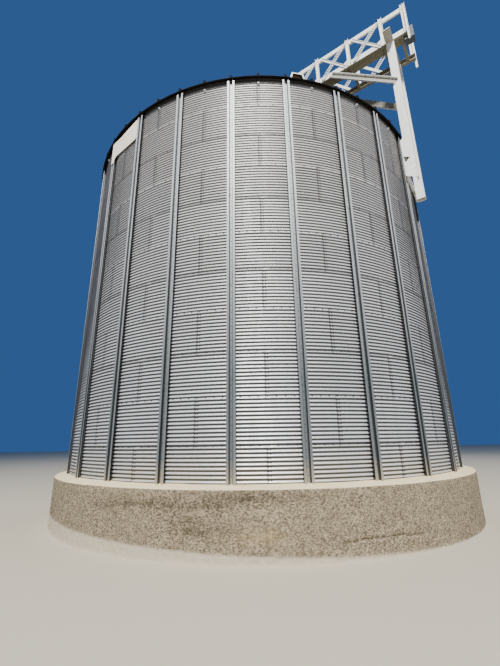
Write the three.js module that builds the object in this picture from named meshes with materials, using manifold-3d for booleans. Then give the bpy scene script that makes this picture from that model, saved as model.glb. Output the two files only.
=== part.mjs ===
// Corrugated steel grain silo on a round concrete plinth, with the conveyor
// bridge that reaches its roof. Millimetres, +Z up, ground level at z = 0 and
// the silo's axis on the Z axis. The front of the silo faces -Y.

import * as THREE from "three";
import { mergeVertices } from "three/addons/utils/BufferGeometryUtils.js";
import Module from "manifold-3d";

const wasm = await Module();
wasm.setup();

// Driving dimensions of the silo
const CORRUGATION_DEPTH = 18; // of the wall sheets, whose shell the solids take up
const BAYS = 26; // two bays to a sheet, one stiffener at each bay line
const SHEETS = BAYS / 2;
const WALL_RADIUS = 5830; // mean radius of the corrugated wall
const WALL_TOP = 10998;
const PLINTH_TOP = 1200;
const PLINTH_RADIUS = 6195;
const LEDGE_FALL = 42; // the ledge slopes this much from the wall to its edge
const GAP = 0.3; // left between pieces that touch

// Stiffeners: hat sections, their web on the wall and their lips turned outwards
const STIFFENER_WIDTH = 185; // over the lips
const STIFFENER_DEPTH = 66;
const STIFFENER_LIP = 43;
const STIFFENER_SHEET = 5;
const STIFFENER_TOP = 10889;

// Roof
const EAVE_RADIUS = 5951;
const ROOF_SLOPE = THREE.MathUtils.degToRad(30);
const ROOF_SHEET = 12;
const RIB_HEIGHT = 85;
const RIB_WIDTH = 50;
const RIB_SETBACK = 10; // from the collar
const ROOF_RIBS = BAYS * 2;
const ROOF_QUARTERS = 4;
const COLLAR_RADIUS = 620;
const COLLAR_TOP = 14400;
const COLLAR_WALL = 12;
const COLLAR_SKIRT = 60; // the collar reaches this far below the roof sheet

// Vent: a sheet hood that stands on the roof between two ribs, open outwards
const VENT_BAY = 1.285;
const VENT_FRONT = 5700; // radius of its mouth
const VENT_TOP = 11460;
const VENT_TOP_HALF = 158;
const VENT_FLARE = 0.25; // its sides lean out by this much of their height
const VENT_SHEET = 12;
const VENT_RIM = 35;
const VENT_RIM_DEPTH = 10;

// Cloth banner across one bay, under the eave. Its outline is given as shares
// of the way between two stiffeners, and heights.
const BANNER_BAY = -3; // from this stiffener to the next one
const BANNER_OUTLINE = [
  [-0.045, 10080],
  [0.06, 10090],
  [0.1, 10200],
  [0.16, 10245],
  [0.9, 10150],
  [0.945, 10190],
  [0.945, 10845],
  [-0.045, 10845],
];
const BANNER_THICKNESS = 12;
const BANNER_STANDOFF = 10.9; // just clears the stiffeners' outer corners

// Conveyor bridge, square to the wall at the middle of one bay. Its own frame
// has +X outwards and +Y to the far side.
const BRIDGE_BAY = 4.5; // in bays from the first stiffener
const NEAR_FACE = -803; // outer faces of the chords
const FAR_FACE = 355;
const BRIDGE_INNER = -121;
const BRIDGE_OUTER = 6690;

// Bed: two chord channels and the cross members between them
const BED_BOTTOM = 14758;
const BED_DEPTH = 220;
const BED_FLANGE = 100;
const CHORD_WEB = 12;
const CHORD_FLANGE = 14;
const CROSS_DEPTH = 100;
const CROSS_WIDTH = 90;
const LAST_CROSS = 6440;

// Side trusses: posts and braces on the outside of the bed's and the top chord
const TOP_CHORD_BOTTOM = 15780;
const TOP_CHORD_TOP = 15950;
const TOP_CHORD_FLANGE = 60;
const TOP_CHORD_SHEET = 10;
const POST_STATIONS = [-61, 1128, 2317, 3505, 4694, 5883];
const POST_WIDTH = 120;
const POST_DEPTH = 50;
const POST_SHEET = 8;
const POST_FOOT = 14775;
const POST_TOP = 16010;
const END_POST_STATIONS = [6583, 6669];
const END_POST_WIDTH = 66;
const END_POST_TOP = 16020;
const HANGER_FOOT = 14418; // the last post's lower end
const BRACE_WIDTH = 90; // channel that falls outwards across each bay
const BRACE_DEPTH = 34;
const BRACE_SHEET = 6;
const BRACE_HIGH = [180, 15845]; // from the post before it
const BRACE_LOW = [-140, 14810]; // from the post after it
const LATTICE_WIDTH = 130; // slotted angle that rises outwards over the channel
const LATTICE_SHEET = 6;
const LATTICE_LOW = [180, 14825];
const LATTICE_HIGH = [-100, 15875];
const PACKER = 90;
const GUSSET_REACH = 170;
const GUSSET_RISE = 110;

// Columns, cap plate, knee braces and wall rail of the bridge
const COLUMN_INNER = 5951;
const COLUMN_OUTER = 6195;
const COLUMN_WIDTH = 183;
const COLUMN_WALL = 10;
const FAR_COLUMN_FOOT = 9150;
const CAP_THICKNESS = 20;
const CAP_OVERHANG = 480;
const KNEE_DEPTH = 200;
const KNEE_FLANGE = 75;
const KNEE_SHEET = 9;
const KNEE_LOW = [6060, 12993];
const KNEE_HIGH = [3990, 14811];
const RAIL_BOTTOM = 9470;
const RAIL_DEPTH = 90;
const RAIL_SHEET = 10;

// Near column's bracket: two plates and an outer leg below the hollow post
const BRACKET_PLATE = 14;
const BRACKET_SHOULDER = 10700;
const BRACKET_TOP = 10060;
const BRACKET_FOOT_INNER = 9413;
const BRACKET_FOOT_OUTER = 9234;
const BRACKET_LEG = 45;
const BRACKET_WINDOW = [
  [5889, 10106],
  [6071, 10006],
  [5924, 9876],
];

// Conveyor on the bridge
const TROUGH_NEAR = -698;
const TROUGH_WIDTH = 328;
const TROUGH_HEIGHT = 215;
const TROUGH_INNER = -60;
const TROUGH_OUTER = 6510;
const BOOT_WIDTH = 258;
const BOOT_BOTTOM = 14600;
const BOOT_END = 6805;
const SPOUT_INNER = 40;
const SPOUT_LENGTH = 220;
const SPOUT_INSET = 40;
const SPOUT_NECK = 60;
const SPOUT_FOOT = [-420, -200];

// Stool under the bed's inner end
const STOOL_BEAMS = [-61, 420];
const STOOL_LEGS = [-360, 300];
const STOOL_BEAM_WIDTH = 100;
const STOOL_BEAM_DEPTH = 120;
const STOOL_LEG_WIDTH = 80;
const STOOL_TIE = 40;

const FIRST_STIFFENER = THREE.MathUtils.degToRad(-5.53);
const BAY_ANGLE = (2 * Math.PI) / BAYS;
const LATHE_STEPS = BAYS * 4;
const WALL_OUTER = WALL_RADIUS + CORRUGATION_DEPTH / 2;
const WALL_INNER = WALL_RADIUS - CORRUGATION_DEPTH / 2;

const GALVANISED = new THREE.MeshStandardMaterial({ color: 0xb9bcbd, roughness: 0.45, metalness: 0.85 });
const ROOF_STEEL = new THREE.MeshStandardMaterial({ color: 0x55504b, roughness: 0.6, metalness: 0.6 });
const CONCRETE = new THREE.MeshStandardMaterial({ color: 0x9a8d7b, roughness: 0.95, metalness: 0 });
const CREAM_PAINT = new THREE.MeshStandardMaterial({ color: 0xded9cc, roughness: 0.6, metalness: 0.1 });
const BANNER_CLOTH = new THREE.MeshStandardMaterial({ color: 0xe2cdb2, roughness: 0.9, metalness: 0 });

const silo = new THREE.Group();

// Angle of a bay line, from the front (-Y) towards +X
function bayAngle(bay) {
  return FIRST_STIFFENER + bay * BAY_ANGLE;
}

// Point of the plan at a radius on a bay line
function onWall(radius, bay) {
  const angle = bayAngle(bay);
  return new THREE.Vector2(radius * Math.sin(angle), -radius * Math.cos(angle));
}

function add(parent, name, geometry, material) {
  const mesh = new THREE.Mesh(geometry, material.clone());
  mesh.name = name;
  parent.add(mesh);
  return mesh;
}

// A flat outline carried straight up from z = low to z = high
function upright(outline, low, high) {
  const shape = new THREE.Shape(outline);
  const geometry = new THREE.ExtrudeGeometry(shape, { depth: high - low, bevelEnabled: false });
  geometry.translate(0, 0, low);
  return geometry;
}

// A block between two opposite corners
function block(low, high) {
  const size = low.map((value, i) => high[i] - value);
  const geometry = new THREE.BoxGeometry(...size);
  geometry.translate(...low.map((value, i) => (value + high[i]) / 2));
  return geometry;
}

// An outline in the XZ plane, given thickness from y = near to y = far
function sideProfile(outline, near, far, window = null) {
  const shape = new THREE.Shape(outline.map(([x, z]) => new THREE.Vector2(x, z)));
  if (window) {
    shape.holes.push(new THREE.Path(window.map(([x, z]) => new THREE.Vector2(x, z))));
  }
  const geometry = new THREE.ExtrudeGeometry(shape, { depth: far - near, bevelEnabled: false });
  geometry.rotateX(Math.PI / 2);
  geometry.translate(0, far, 0);
  return geometry;
}

// A bar in the XZ plane from one point to another, of a given width
function bar(from, to, width, near, far) {
  const run = new THREE.Vector2(to[0] - from[0], to[1] - from[1]).normalize();
  const half = [(-run.y * width) / 2, (run.x * width) / 2];
  return sideProfile(
    [
      [from[0] - half[0], from[1] - half[1]],
      [to[0] - half[0], to[1] - half[1]],
      [to[0] + half[0], to[1] + half[1]],
      [from[0] + half[0], from[1] + half[1]],
    ],
    near,
    far,
  );
}

// A profile of [radius, z] pairs turned about the silo's axis
function turned(profile, steps = LATHE_STEPS) {
  const points = profile.map(([radius, z]) => new THREE.Vector2(radius, z));
  const geometry = new THREE.LatheGeometry(points, steps, bayAngle(0), 2 * Math.PI);
  geometry.rotateX(Math.PI / 2);
  return geometry;
}

function toSolid(geometry) {
  const bare = geometry.index ? geometry.clone() : geometry;
  bare.deleteAttribute("normal");
  bare.deleteAttribute("uv");
  const merged = mergeVertices(bare, 1e-3);
  return new wasm.Manifold(
    new wasm.Mesh({
      numProp: 3,
      vertProperties: new Float32Array(merged.attributes.position.array),
      triVerts: new Uint32Array(merged.index.array),
    }),
  );
}

function toGeometry(solid) {
  const mesh = solid.getMesh();
  const geometry = new THREE.BufferGeometry();
  geometry.setAttribute("position", new THREE.BufferAttribute(mesh.vertProperties, 3));
  geometry.setIndex(new THREE.BufferAttribute(mesh.triVerts, 1));
  geometry.computeVertexNormals();
  return geometry;
}

function fuse(geometries) {
  return geometries.map(toSolid).reduce((sum, piece) => sum.add(piece));
}

// Plinth: one drum of concrete whose ledge slopes outwards from the wall
function makePlinth() {
  const profile = [
    [0, 0],
    [PLINTH_RADIUS, 0],
    [PLINTH_RADIUS, PLINTH_TOP - LEDGE_FALL],
    [WALL_OUTER + STIFFENER_DEPTH, PLINTH_TOP],
    [0, PLINTH_TOP],
  ];
  add(silo, "plinth", turned(profile), CONCRETE);
}

// Wall: one segment to a sheet's width, from mid-bay to mid-bay
function makeWall() {
  const stepsPerSheet = 8;
  const joint = GAP / WALL_RADIUS;
  for (let sheet = 0; sheet < SHEETS; sheet += 1) {
    const start = bayAngle(0.5 + 2 * sheet) + joint / 2;
    const sweep = 2 * BAY_ANGLE - joint;
    const outline = [];
    for (let i = 0; i <= stepsPerSheet; i += 1) {
      const angle = start + (sweep * i) / stepsPerSheet;
      outline.push(new THREE.Vector2(WALL_OUTER * Math.sin(angle), -WALL_OUTER * Math.cos(angle)));
    }
    for (let i = stepsPerSheet; i >= 0; i -= 1) {
      const angle = start + (sweep * i) / stepsPerSheet;
      outline.push(new THREE.Vector2(WALL_INNER * Math.sin(angle), -WALL_INNER * Math.cos(angle)));
    }
    const name = `wall_segment_${String(sheet + 1).padStart(2, "0")}`;
    add(silo, name, upright(outline, PLINTH_TOP + GAP, WALL_TOP), GALVANISED);
  }
}

// Stiffener section: web on the wall at y = 0, flanges outwards to -Y, each with a
// lip that turns away from the web
function stiffenerOutline() {
  const half = STIFFENER_WIDTH / 2;
  const sheet = STIFFENER_SHEET;
  const depth = STIFFENER_DEPTH;
  const web = half - STIFFENER_LIP;
  return [
    [-web, 0],
    [-web, -depth + sheet],
    [-half, -depth + sheet],
    [-half, -depth],
    [-web + sheet, -depth],
    [-web + sheet, -sheet],
    [web - sheet, -sheet],
    [web - sheet, -depth],
    [half, -depth],
    [half, -depth + sheet],
    [web, -depth + sheet],
    [web, 0],
  ].map(([x, y]) => new THREE.Vector2(x, y));
}

function makeStiffeners() {
  for (let bay = 0; bay < BAYS; bay += 1) {
    const name = `stiffener_${String(bay + 1).padStart(2, "0")}`;
    const mesh = add(
      silo,
      name,
      upright(stiffenerOutline(), PLINTH_TOP + GAP, STIFFENER_TOP),
      GALVANISED,
    );
    const seat = onWall(WALL_OUTER + GAP, bay);
    mesh.position.set(seat.x, seat.y, 0);
    mesh.rotation.z = bayAngle(bay);
  }
}

// Height of the roof sheet's underside
function roofUnderside(radius) {
  return WALL_TOP + GAP + (WALL_OUTER - radius) * Math.tan(ROOF_SLOPE);
}

// Roof: a cone of steel sheet with raised ribs, cut into four quarters
function makeRoof() {
  const inner = COLLAR_RADIUS + GAP;
  const ribInner = inner + RIB_SETBACK;
  const ribOuter = EAVE_RADIUS - 1;
  const shell = toSolid(
    turned([
      [inner, roofUnderside(inner)],
      [EAVE_RADIUS, roofUnderside(EAVE_RADIUS)],
      [EAVE_RADIUS, roofUnderside(EAVE_RADIUS) + ROOF_SHEET],
      [inner, roofUnderside(inner) + ROOF_SHEET],
      [inner, roofUnderside(inner)],
    ]),
  );
  const rib = new THREE.Shape(
    [
      [ribInner, roofUnderside(ribInner) + ROOF_SHEET / 2],
      [ribOuter, roofUnderside(ribOuter) + ROOF_SHEET / 2],
      [ribOuter, roofUnderside(ribOuter) + ROOF_SHEET + RIB_HEIGHT],
      [ribInner, roofUnderside(ribInner) + ROOF_SHEET + RIB_HEIGHT],
    ].map(([x, z]) => new THREE.Vector2(x, z)),
  );
  let roof = shell;
  for (let i = 0; i < ROOF_RIBS; i += 1) {
    const geometry = new THREE.ExtrudeGeometry(rib, { depth: RIB_WIDTH, bevelEnabled: false });
    geometry.translate(0, 0, -RIB_WIDTH / 2);
    geometry.rotateX(Math.PI / 2);
    geometry.rotateZ(bayAngle(i / 2) - Math.PI / 2);
    roof = roof.add(toSolid(geometry));
  }
  for (let quarter = 0; quarter < ROOF_QUARTERS; quarter += 1) {
    const size = 2 * EAVE_RADIUS;
    const corner = [
      new THREE.Vector2(GAP / 2, GAP / 2),
      new THREE.Vector2(size, GAP / 2),
      new THREE.Vector2(size, size),
      new THREE.Vector2(GAP / 2, size),
    ];
    const cutter = upright(corner, 0, 2 * WALL_TOP);
    cutter.rotateZ(bayAngle(0.25) + (quarter * Math.PI) / 2);
    add(silo, `roof_quarter_${quarter + 1}`, toGeometry(roof.intersect(toSolid(cutter))), ROOF_STEEL);
  }
}

// Collar at the peak: a round fill opening with its flat cover, open below
function makeCollar() {
  const foot = roofUnderside(COLLAR_RADIUS) - COLLAR_SKIRT;
  const profile = [
    [0, COLLAR_TOP - COLLAR_WALL],
    [COLLAR_RADIUS - COLLAR_WALL, COLLAR_TOP - COLLAR_WALL],
    [COLLAR_RADIUS - COLLAR_WALL, foot],
    [COLLAR_RADIUS, foot],
    [COLLAR_RADIUS, COLLAR_TOP],
    [0, COLLAR_TOP],
  ];
  add(silo, "peak_collar", turned(profile, BAYS * 2), ROOF_STEEL);
}

// Vent: a hood with leaning sides, carried level into the roof's slope and cut
// off along the roof sheet, with a rim round its mouth
function makeVent() {
  const low = WALL_TOP;
  const rise = VENT_TOP - low;
  const outline = (inset, foot) =>
    [
      [-VENT_TOP_HALF - VENT_FLARE * rise + inset, foot],
      [VENT_TOP_HALF + VENT_FLARE * rise - inset, foot],
      [VENT_TOP_HALF - inset, VENT_TOP - inset],
      [-VENT_TOP_HALF + inset, VENT_TOP - inset],
    ].map(([x, z]) => new THREE.Vector2(x, z));
  const depth = rise / Math.tan(ROOF_SLOPE);
  const prism = (inset, foot, from, to) => {
    const geometry = new THREE.ExtrudeGeometry(new THREE.Shape(outline(inset, foot)), {
      depth: to - from,
      bevelEnabled: false,
    });
    geometry.rotateX(Math.PI / 2);
    geometry.translate(0, to - VENT_FRONT, 0);
    geometry.rotateZ(bayAngle(VENT_BAY));
    return toSolid(geometry);
  };
  const roofTop = (radius) => roofUnderside(radius) + ROOF_SHEET + GAP;
  const below = toSolid(
    turned([
      [0, 0],
      [EAVE_RADIUS, 0],
      [EAVE_RADIUS, roofTop(EAVE_RADIUS)],
      [0, roofTop(0)],
      [0, 0],
    ]),
  );
  const body = prism(0, low, 0, depth).subtract(prism(VENT_SHEET, low - 1, -1, depth + 1));
  const rim = prism(0, low, 0, VENT_RIM_DEPTH).subtract(prism(VENT_RIM, low - 1, -1, VENT_RIM_DEPTH + 1));
  add(silo, "roof_vent", toGeometry(body.add(rim).subtract(below)), CREAM_PAINT);
}

// Banner: a flat cloth from one stiffener to the next, just under the eave
function makeBanner() {
  const radius = WALL_OUTER + STIFFENER_DEPTH + 2 * GAP;
  const from = onWall(radius, BANNER_BAY);
  const to = onWall(radius, BANNER_BAY + 1);
  const length = from.distanceTo(to);
  const group = new THREE.Group();
  group.position.set(from.x, from.y, 0);
  group.rotation.z = Math.atan2(to.y - from.y, to.x - from.x);
  silo.add(group);
  const cloth = sideProfile(
    BANNER_OUTLINE.map(([share, height]) => [share * length, height]),
    -BANNER_STANDOFF - BANNER_THICKNESS,
    -BANNER_STANDOFF,
  );
  add(group, "banner", cloth, BANNER_CLOTH);
}

// Bridge bed: two chord channels, their webs outside, joined by cross members
function makeBed(bridge) {
  const top = BED_BOTTOM + BED_DEPTH;
  const chord = (face, inwards) => {
    const web = [face, face + inwards * CHORD_WEB];
    const flange = [face, face + inwards * BED_FLANGE];
    return [
      block([BRIDGE_INNER, Math.min(...web), BED_BOTTOM], [BRIDGE_OUTER, Math.max(...web), top]),
      block(
        [BRIDGE_INNER, Math.min(...flange), BED_BOTTOM],
        [BRIDGE_OUTER, Math.max(...flange), BED_BOTTOM + CHORD_FLANGE],
      ),
      block(
        [BRIDGE_INNER, Math.min(...flange), top - CHORD_FLANGE],
        [BRIDGE_OUTER, Math.max(...flange), top],
      ),
    ];
  };
  const cross = [...POST_STATIONS, LAST_CROSS].map((x) =>
    block(
      [x - CROSS_WIDTH / 2, NEAR_FACE + CHORD_WEB / 2, BED_BOTTOM + CHORD_FLANGE / 2],
      [x + CROSS_WIDTH / 2, FAR_FACE - CHORD_WEB / 2, BED_BOTTOM + CROSS_DEPTH],
    ),
  );
  const bed = fuse([...chord(NEAR_FACE, 1), ...chord(FAR_FACE, -1), ...cross]);
  add(bridge, "bridge_bed", toGeometry(bed), CREAM_PAINT);
}

// Side truss: posts over both chords, and in each bay a channel that falls
// outwards with a lattice angle over it. Depths are taken outwards from the face.
function makeSideTruss(bridge, name, face, outwards) {
  const layer = (from, to) => {
    const ends = [face + outwards * from, face + outwards * to];
    return [Math.min(...ends), Math.max(...ends)];
  };
  const slab = (xs, depths, zs) => {
    const sides = layer(...depths);
    return block([xs[0], sides[0], zs[0]], [xs[1], sides[1], zs[1]]);
  };
  const chordX = [BRIDGE_INNER, BRIDGE_OUTER];
  const chordZ = [TOP_CHORD_BOTTOM, TOP_CHORD_TOP];
  const pieces = [
    slab(chordX, [-TOP_CHORD_SHEET, 1], chordZ),
    slab(chordX, [-TOP_CHORD_FLANGE, 0], [chordZ[0], chordZ[0] + TOP_CHORD_SHEET]),
    slab(chordX, [-TOP_CHORD_FLANGE, 0], [chordZ[1] - TOP_CHORD_SHEET, chordZ[1]]),
  ];
  const post = (x, width, foot, top) => {
    const sides = [x - width / 2, x + width / 2];
    pieces.push(
      slab(sides, [GAP, POST_SHEET], [foot, top]),
      slab([sides[0], sides[0] + POST_SHEET], [GAP, POST_DEPTH], [foot, top]),
      slab([sides[1] - POST_SHEET, sides[1]], [GAP, POST_DEPTH], [foot, top]),
    );
  };
  POST_STATIONS.forEach((x) => post(x, POST_WIDTH, POST_FOOT, POST_TOP));
  post(END_POST_STATIONS[0], END_POST_WIDTH, POST_FOOT, END_POST_TOP);
  post(END_POST_STATIONS[1], END_POST_WIDTH, HANGER_FOOT, END_POST_TOP);
  for (let i = 0; i < POST_STATIONS.length - 1; i += 1) {
    const left = POST_STATIONS[i];
    const right = POST_STATIONS[i + 1];
    const high = [left + BRACE_HIGH[0], BRACE_HIGH[1]];
    const low = [right + BRACE_LOW[0], BRACE_LOW[1]];
    pieces.push(...channel(high, low, BRACE_WIDTH, BRACE_SHEET, layer, BRACE_DEPTH));
    const foot = [left + LATTICE_LOW[0], LATTICE_LOW[1]];
    const head = [right + LATTICE_HIGH[0], LATTICE_HIGH[1]];
    pieces.push(bar(foot, head, LATTICE_WIDTH, ...layer(BRACE_DEPTH, BRACE_DEPTH + LATTICE_SHEET)));
    for (const [x, z] of [foot, head]) {
      const sides = [x - PACKER / 2, x + PACKER / 2];
      pieces.push(slab(sides, [GAP, BRACE_DEPTH + 1], [z - PACKER / 4, z + PACKER / 4]));
    }
    const corner = right - POST_WIDTH / 2 + POST_SHEET;
    const level = BED_BOTTOM + BED_DEPTH;
    pieces.push(
      sideProfile(
        [
          [corner - GUSSET_REACH, low[1]],
          [corner, low[1]],
          [corner, level + GUSSET_RISE],
          [corner - GUSSET_REACH, level],
        ],
        ...layer(GAP, BRACE_SHEET),
      ),
    );
  }
  add(bridge, name, toGeometry(fuse(pieces)), CREAM_PAINT);
}

// Channel in the XZ plane: a web from one point to another, and a flange along
// each edge. layer turns depths into a near and a far side.
function channel(from, to, width, sheet, layer, depth) {
  const run = new THREE.Vector2(to[0] - from[0], to[1] - from[1]).normalize();
  const edge = (point, side) => [
    point[0] - (run.y * side * (width - sheet)) / 2,
    point[1] + (run.x * side * (width - sheet)) / 2,
  ];
  const flanges = [-1, 1].map((side) => bar(edge(from, side), edge(to, side), sheet, ...layer(GAP, depth)));
  return [bar(from, to, width, ...layer(GAP, sheet)), ...flanges];
}

// A hollow post, open at its foot
function hollowPost(near, far, foot, top) {
  const wall = COLUMN_WALL;
  const outside = toSolid(block([COLUMN_INNER, near, foot], [COLUMN_OUTER, far, top]));
  const inside = block(
    [COLUMN_INNER + wall, near + wall, foot - 1],
    [COLUMN_OUTER - wall, far - wall, top - wall],
  );
  return outside.subtract(toSolid(inside));
}

// Near column: a hollow post on two bracket plates that reach in to the wall's
// stiffener, the near one with a window
function makeNearColumn(bridge) {
  const top = BED_BOTTOM - CAP_THICKNESS - 2 * GAP;
  const far = NEAR_FACE + COLUMN_WIDTH;
  const inner = stiffenerReach();
  const legInner = COLUMN_OUTER - BRACKET_LEG;
  const slope = (BRACKET_FOOT_OUTER - BRACKET_FOOT_INNER) / (COLUMN_OUTER - inner);
  const legFoot = BRACKET_FOOT_INNER + slope * (legInner - inner);
  const outerLeg = block([legInner, NEAR_FACE, legFoot], [COLUMN_OUTER, far, BRACKET_TOP + COLUMN_WALL]);
  const plate = sideProfile(
    [
      [inner, BRACKET_FOOT_INNER],
      [COLUMN_OUTER, BRACKET_FOOT_OUTER],
      [COLUMN_OUTER, BRACKET_SHOULDER],
      [COLUMN_INNER + COLUMN_WALL, BRACKET_SHOULDER + COLUMN_INNER - inner],
      [COLUMN_INNER, BRACKET_SHOULDER + COLUMN_INNER - inner],
      [inner, BRACKET_SHOULDER],
    ],
    NEAR_FACE,
    NEAR_FACE + BRACKET_PLATE,
    BRACKET_WINDOW,
  );
  const backPlate = block(
    [inner, far - BRACKET_PLATE, RAIL_BOTTOM + RAIL_DEPTH + GAP],
    [COLUMN_OUTER, far, BRACKET_SHOULDER],
  );
  const column = hollowPost(NEAR_FACE, far, BRACKET_TOP, top).add(fuse([outerLeg, plate, backPlate]));
  add(bridge, "near_column", toGeometry(column), CREAM_PAINT);
}

// Far column: a plain hollow post that stands against the wall rail
function makeFarColumn(bridge) {
  const top = BED_BOTTOM - CAP_THICKNESS - 2 * GAP;
  const post = hollowPost(FAR_FACE - COLUMN_WIDTH, FAR_FACE, FAR_COLUMN_FOOT, top);
  add(bridge, "far_column", toGeometry(post), CREAM_PAINT);
}

// Cap plate on both columns, carried past the near one
function makeCapPlate(bridge) {
  const top = BED_BOTTOM - GAP;
  const plate = block(
    [COLUMN_INNER, NEAR_FACE - CAP_OVERHANG, top - CAP_THICKNESS],
    [COLUMN_OUTER, FAR_FACE, top],
  );
  add(bridge, "column_cap_plate", plate, CREAM_PAINT);
}

// Knee brace: a channel from a column up to the bed, its flanges on the outside
function makeKnee(bridge, name, face, outwards) {
  const layer = (from, to) => {
    const sides = [face + outwards * from, face + outwards * to];
    return [Math.min(...sides), Math.max(...sides)];
  };
  const pieces = channel(KNEE_LOW, KNEE_HIGH, KNEE_DEPTH, KNEE_SHEET, layer, KNEE_FLANGE);
  add(bridge, name, toGeometry(fuse(pieces)), CREAM_PAINT);
}

// How far out the stiffeners beside the bridge reach, measured along its own X
function stiffenerReach() {
  const face = WALL_OUTER + GAP + STIFFENER_DEPTH;
  const turn = BAY_ANGLE / 2;
  return face * Math.cos(turn) + (STIFFENER_WIDTH / 2) * Math.sin(turn) + GAP;
}

// Wall rail: a channel across two stiffeners, which the columns' feet bolt to
function makeRail(bridge) {
  const inner = stiffenerReach();
  const outer = COLUMN_INNER - GAP;
  const near = NEAR_FACE + BRACKET_PLATE + GAP;
  const far = (WALL_OUTER + STIFFENER_DEPTH) * Math.sin(BAY_ANGLE / 2) + STIFFENER_WIDTH / 2;
  const top = RAIL_BOTTOM + RAIL_DEPTH;
  const pieces = [
    block([outer - RAIL_SHEET, near, RAIL_BOTTOM], [outer, far, top]),
    block([inner, near, RAIL_BOTTOM], [outer, far, RAIL_BOTTOM + RAIL_SHEET]),
    block([inner, near, top - RAIL_SHEET], [outer, far, top]),
  ];
  add(bridge, "lower_wall_rail", toGeometry(fuse(pieces)), CREAM_PAINT);
}

// Conveyor: a closed trough on the cross members, with a boot at its outer end
// and a spout from its inner end down to the peak
function makeConveyor(bridge) {
  const far = TROUGH_NEAR + TROUGH_WIDTH;
  const low = BED_BOTTOM + CROSS_DEPTH + GAP;
  const top = low + TROUGH_HEIGHT;
  const trough = block([TROUGH_INNER, TROUGH_NEAR, low], [TROUGH_OUTER, far, top]);
  add(bridge, "conveyor_trough", trough, CREAM_PAINT);
  const boot = block(
    [TROUGH_OUTER + GAP, TROUGH_NEAR, BOOT_BOTTOM],
    [BOOT_END, TROUGH_NEAR + BOOT_WIDTH, top],
  );
  add(bridge, "conveyor_boot", boot, CREAM_PAINT);
  const mouth = [TROUGH_NEAR + SPOUT_INSET, far - SPOUT_INSET];
  const spoutTop = low - GAP;
  const spout = new THREE.Shape(
    [
      [mouth[0], spoutTop],
      [mouth[0], spoutTop - SPOUT_NECK],
      [SPOUT_FOOT[0], COLLAR_TOP + GAP],
      [SPOUT_FOOT[1], COLLAR_TOP + GAP],
      [mouth[1], spoutTop - SPOUT_NECK],
      [mouth[1], spoutTop],
    ].map(([y, z]) => new THREE.Vector2(y, z)),
  );
  const geometry = new THREE.ExtrudeGeometry(spout, { depth: SPOUT_LENGTH, bevelEnabled: false });
  geometry.rotateX(Math.PI / 2);
  geometry.rotateZ(Math.PI / 2);
  geometry.translate(SPOUT_INNER, 0, 0);
  add(bridge, "discharge_spout", geometry, CREAM_PAINT);
}

// Stool on the peak collar that carries the inner end of the bed
function makeStool(bridge) {
  const top = BED_BOTTOM - GAP;
  const foot = COLLAR_TOP + GAP;
  const halfBeam = STOOL_BEAM_WIDTH / 2;
  const halfLeg = STOOL_LEG_WIDTH / 2;
  const halfTie = STOOL_TIE / 2;
  const middle = top - STOOL_BEAM_DEPTH / 2;
  const pieces = [];
  for (const x of STOOL_BEAMS) {
    pieces.push(block([x - halfBeam, NEAR_FACE, top - STOOL_BEAM_DEPTH], [x + halfBeam, FAR_FACE, top]));
    for (const y of STOOL_LEGS) {
      pieces.push(block([x - halfLeg, y - halfLeg, foot], [x + halfLeg, y + halfLeg, middle]));
    }
  }
  for (const [y, z] of [
    [STOOL_LEGS[1], foot + halfTie],
    [NEAR_FACE + STOOL_TIE, middle],
  ]) {
    const low = [STOOL_BEAMS[0], y - halfTie, z - halfTie];
    pieces.push(block(low, [STOOL_BEAMS[1], y + halfTie, z + halfTie]));
  }
  add(bridge, "peak_stool", toGeometry(fuse(pieces)), CREAM_PAINT);
}

makePlinth();
makeWall();
makeStiffeners();
makeRoof();
makeCollar();
makeVent();
makeBanner();

const bridge = new THREE.Group();
bridge.rotation.z = bayAngle(BRIDGE_BAY) - Math.PI / 2;
silo.add(bridge);
makeBed(bridge);
makeSideTruss(bridge, "near_side_truss", NEAR_FACE, -1);
makeSideTruss(bridge, "far_side_truss", FAR_FACE, 1);
makeNearColumn(bridge);
makeFarColumn(bridge);
makeCapPlate(bridge);
makeKnee(bridge, "near_knee_brace", NEAR_FACE, -1);
makeKnee(bridge, "far_knee_brace", FAR_FACE, 1);
makeRail(bridge);
makeConveyor(bridge);
makeStool(bridge);

export default silo;
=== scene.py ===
"""Farm grain silo: a corrugated steel wall on a rough-cast plinth, a ribbed
roof, a cloth banner under the eave and a painted conveyor bridge.

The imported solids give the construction. This file gives the looks: each new
piece is a surface worked out with numpy from a few sizes of the silo, and
every finish is procedural. All lengths are metres and Z is up. An azimuth is
an angle about the silo's axis from the front, -Y, towards +X."""

import math
from collections import namedtuple

import bmesh
import bpy
import numpy as np
from bpy.props import FloatProperty, FloatVectorProperty, IntProperty, PointerProperty
from mathutils import Matrix, Vector


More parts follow.
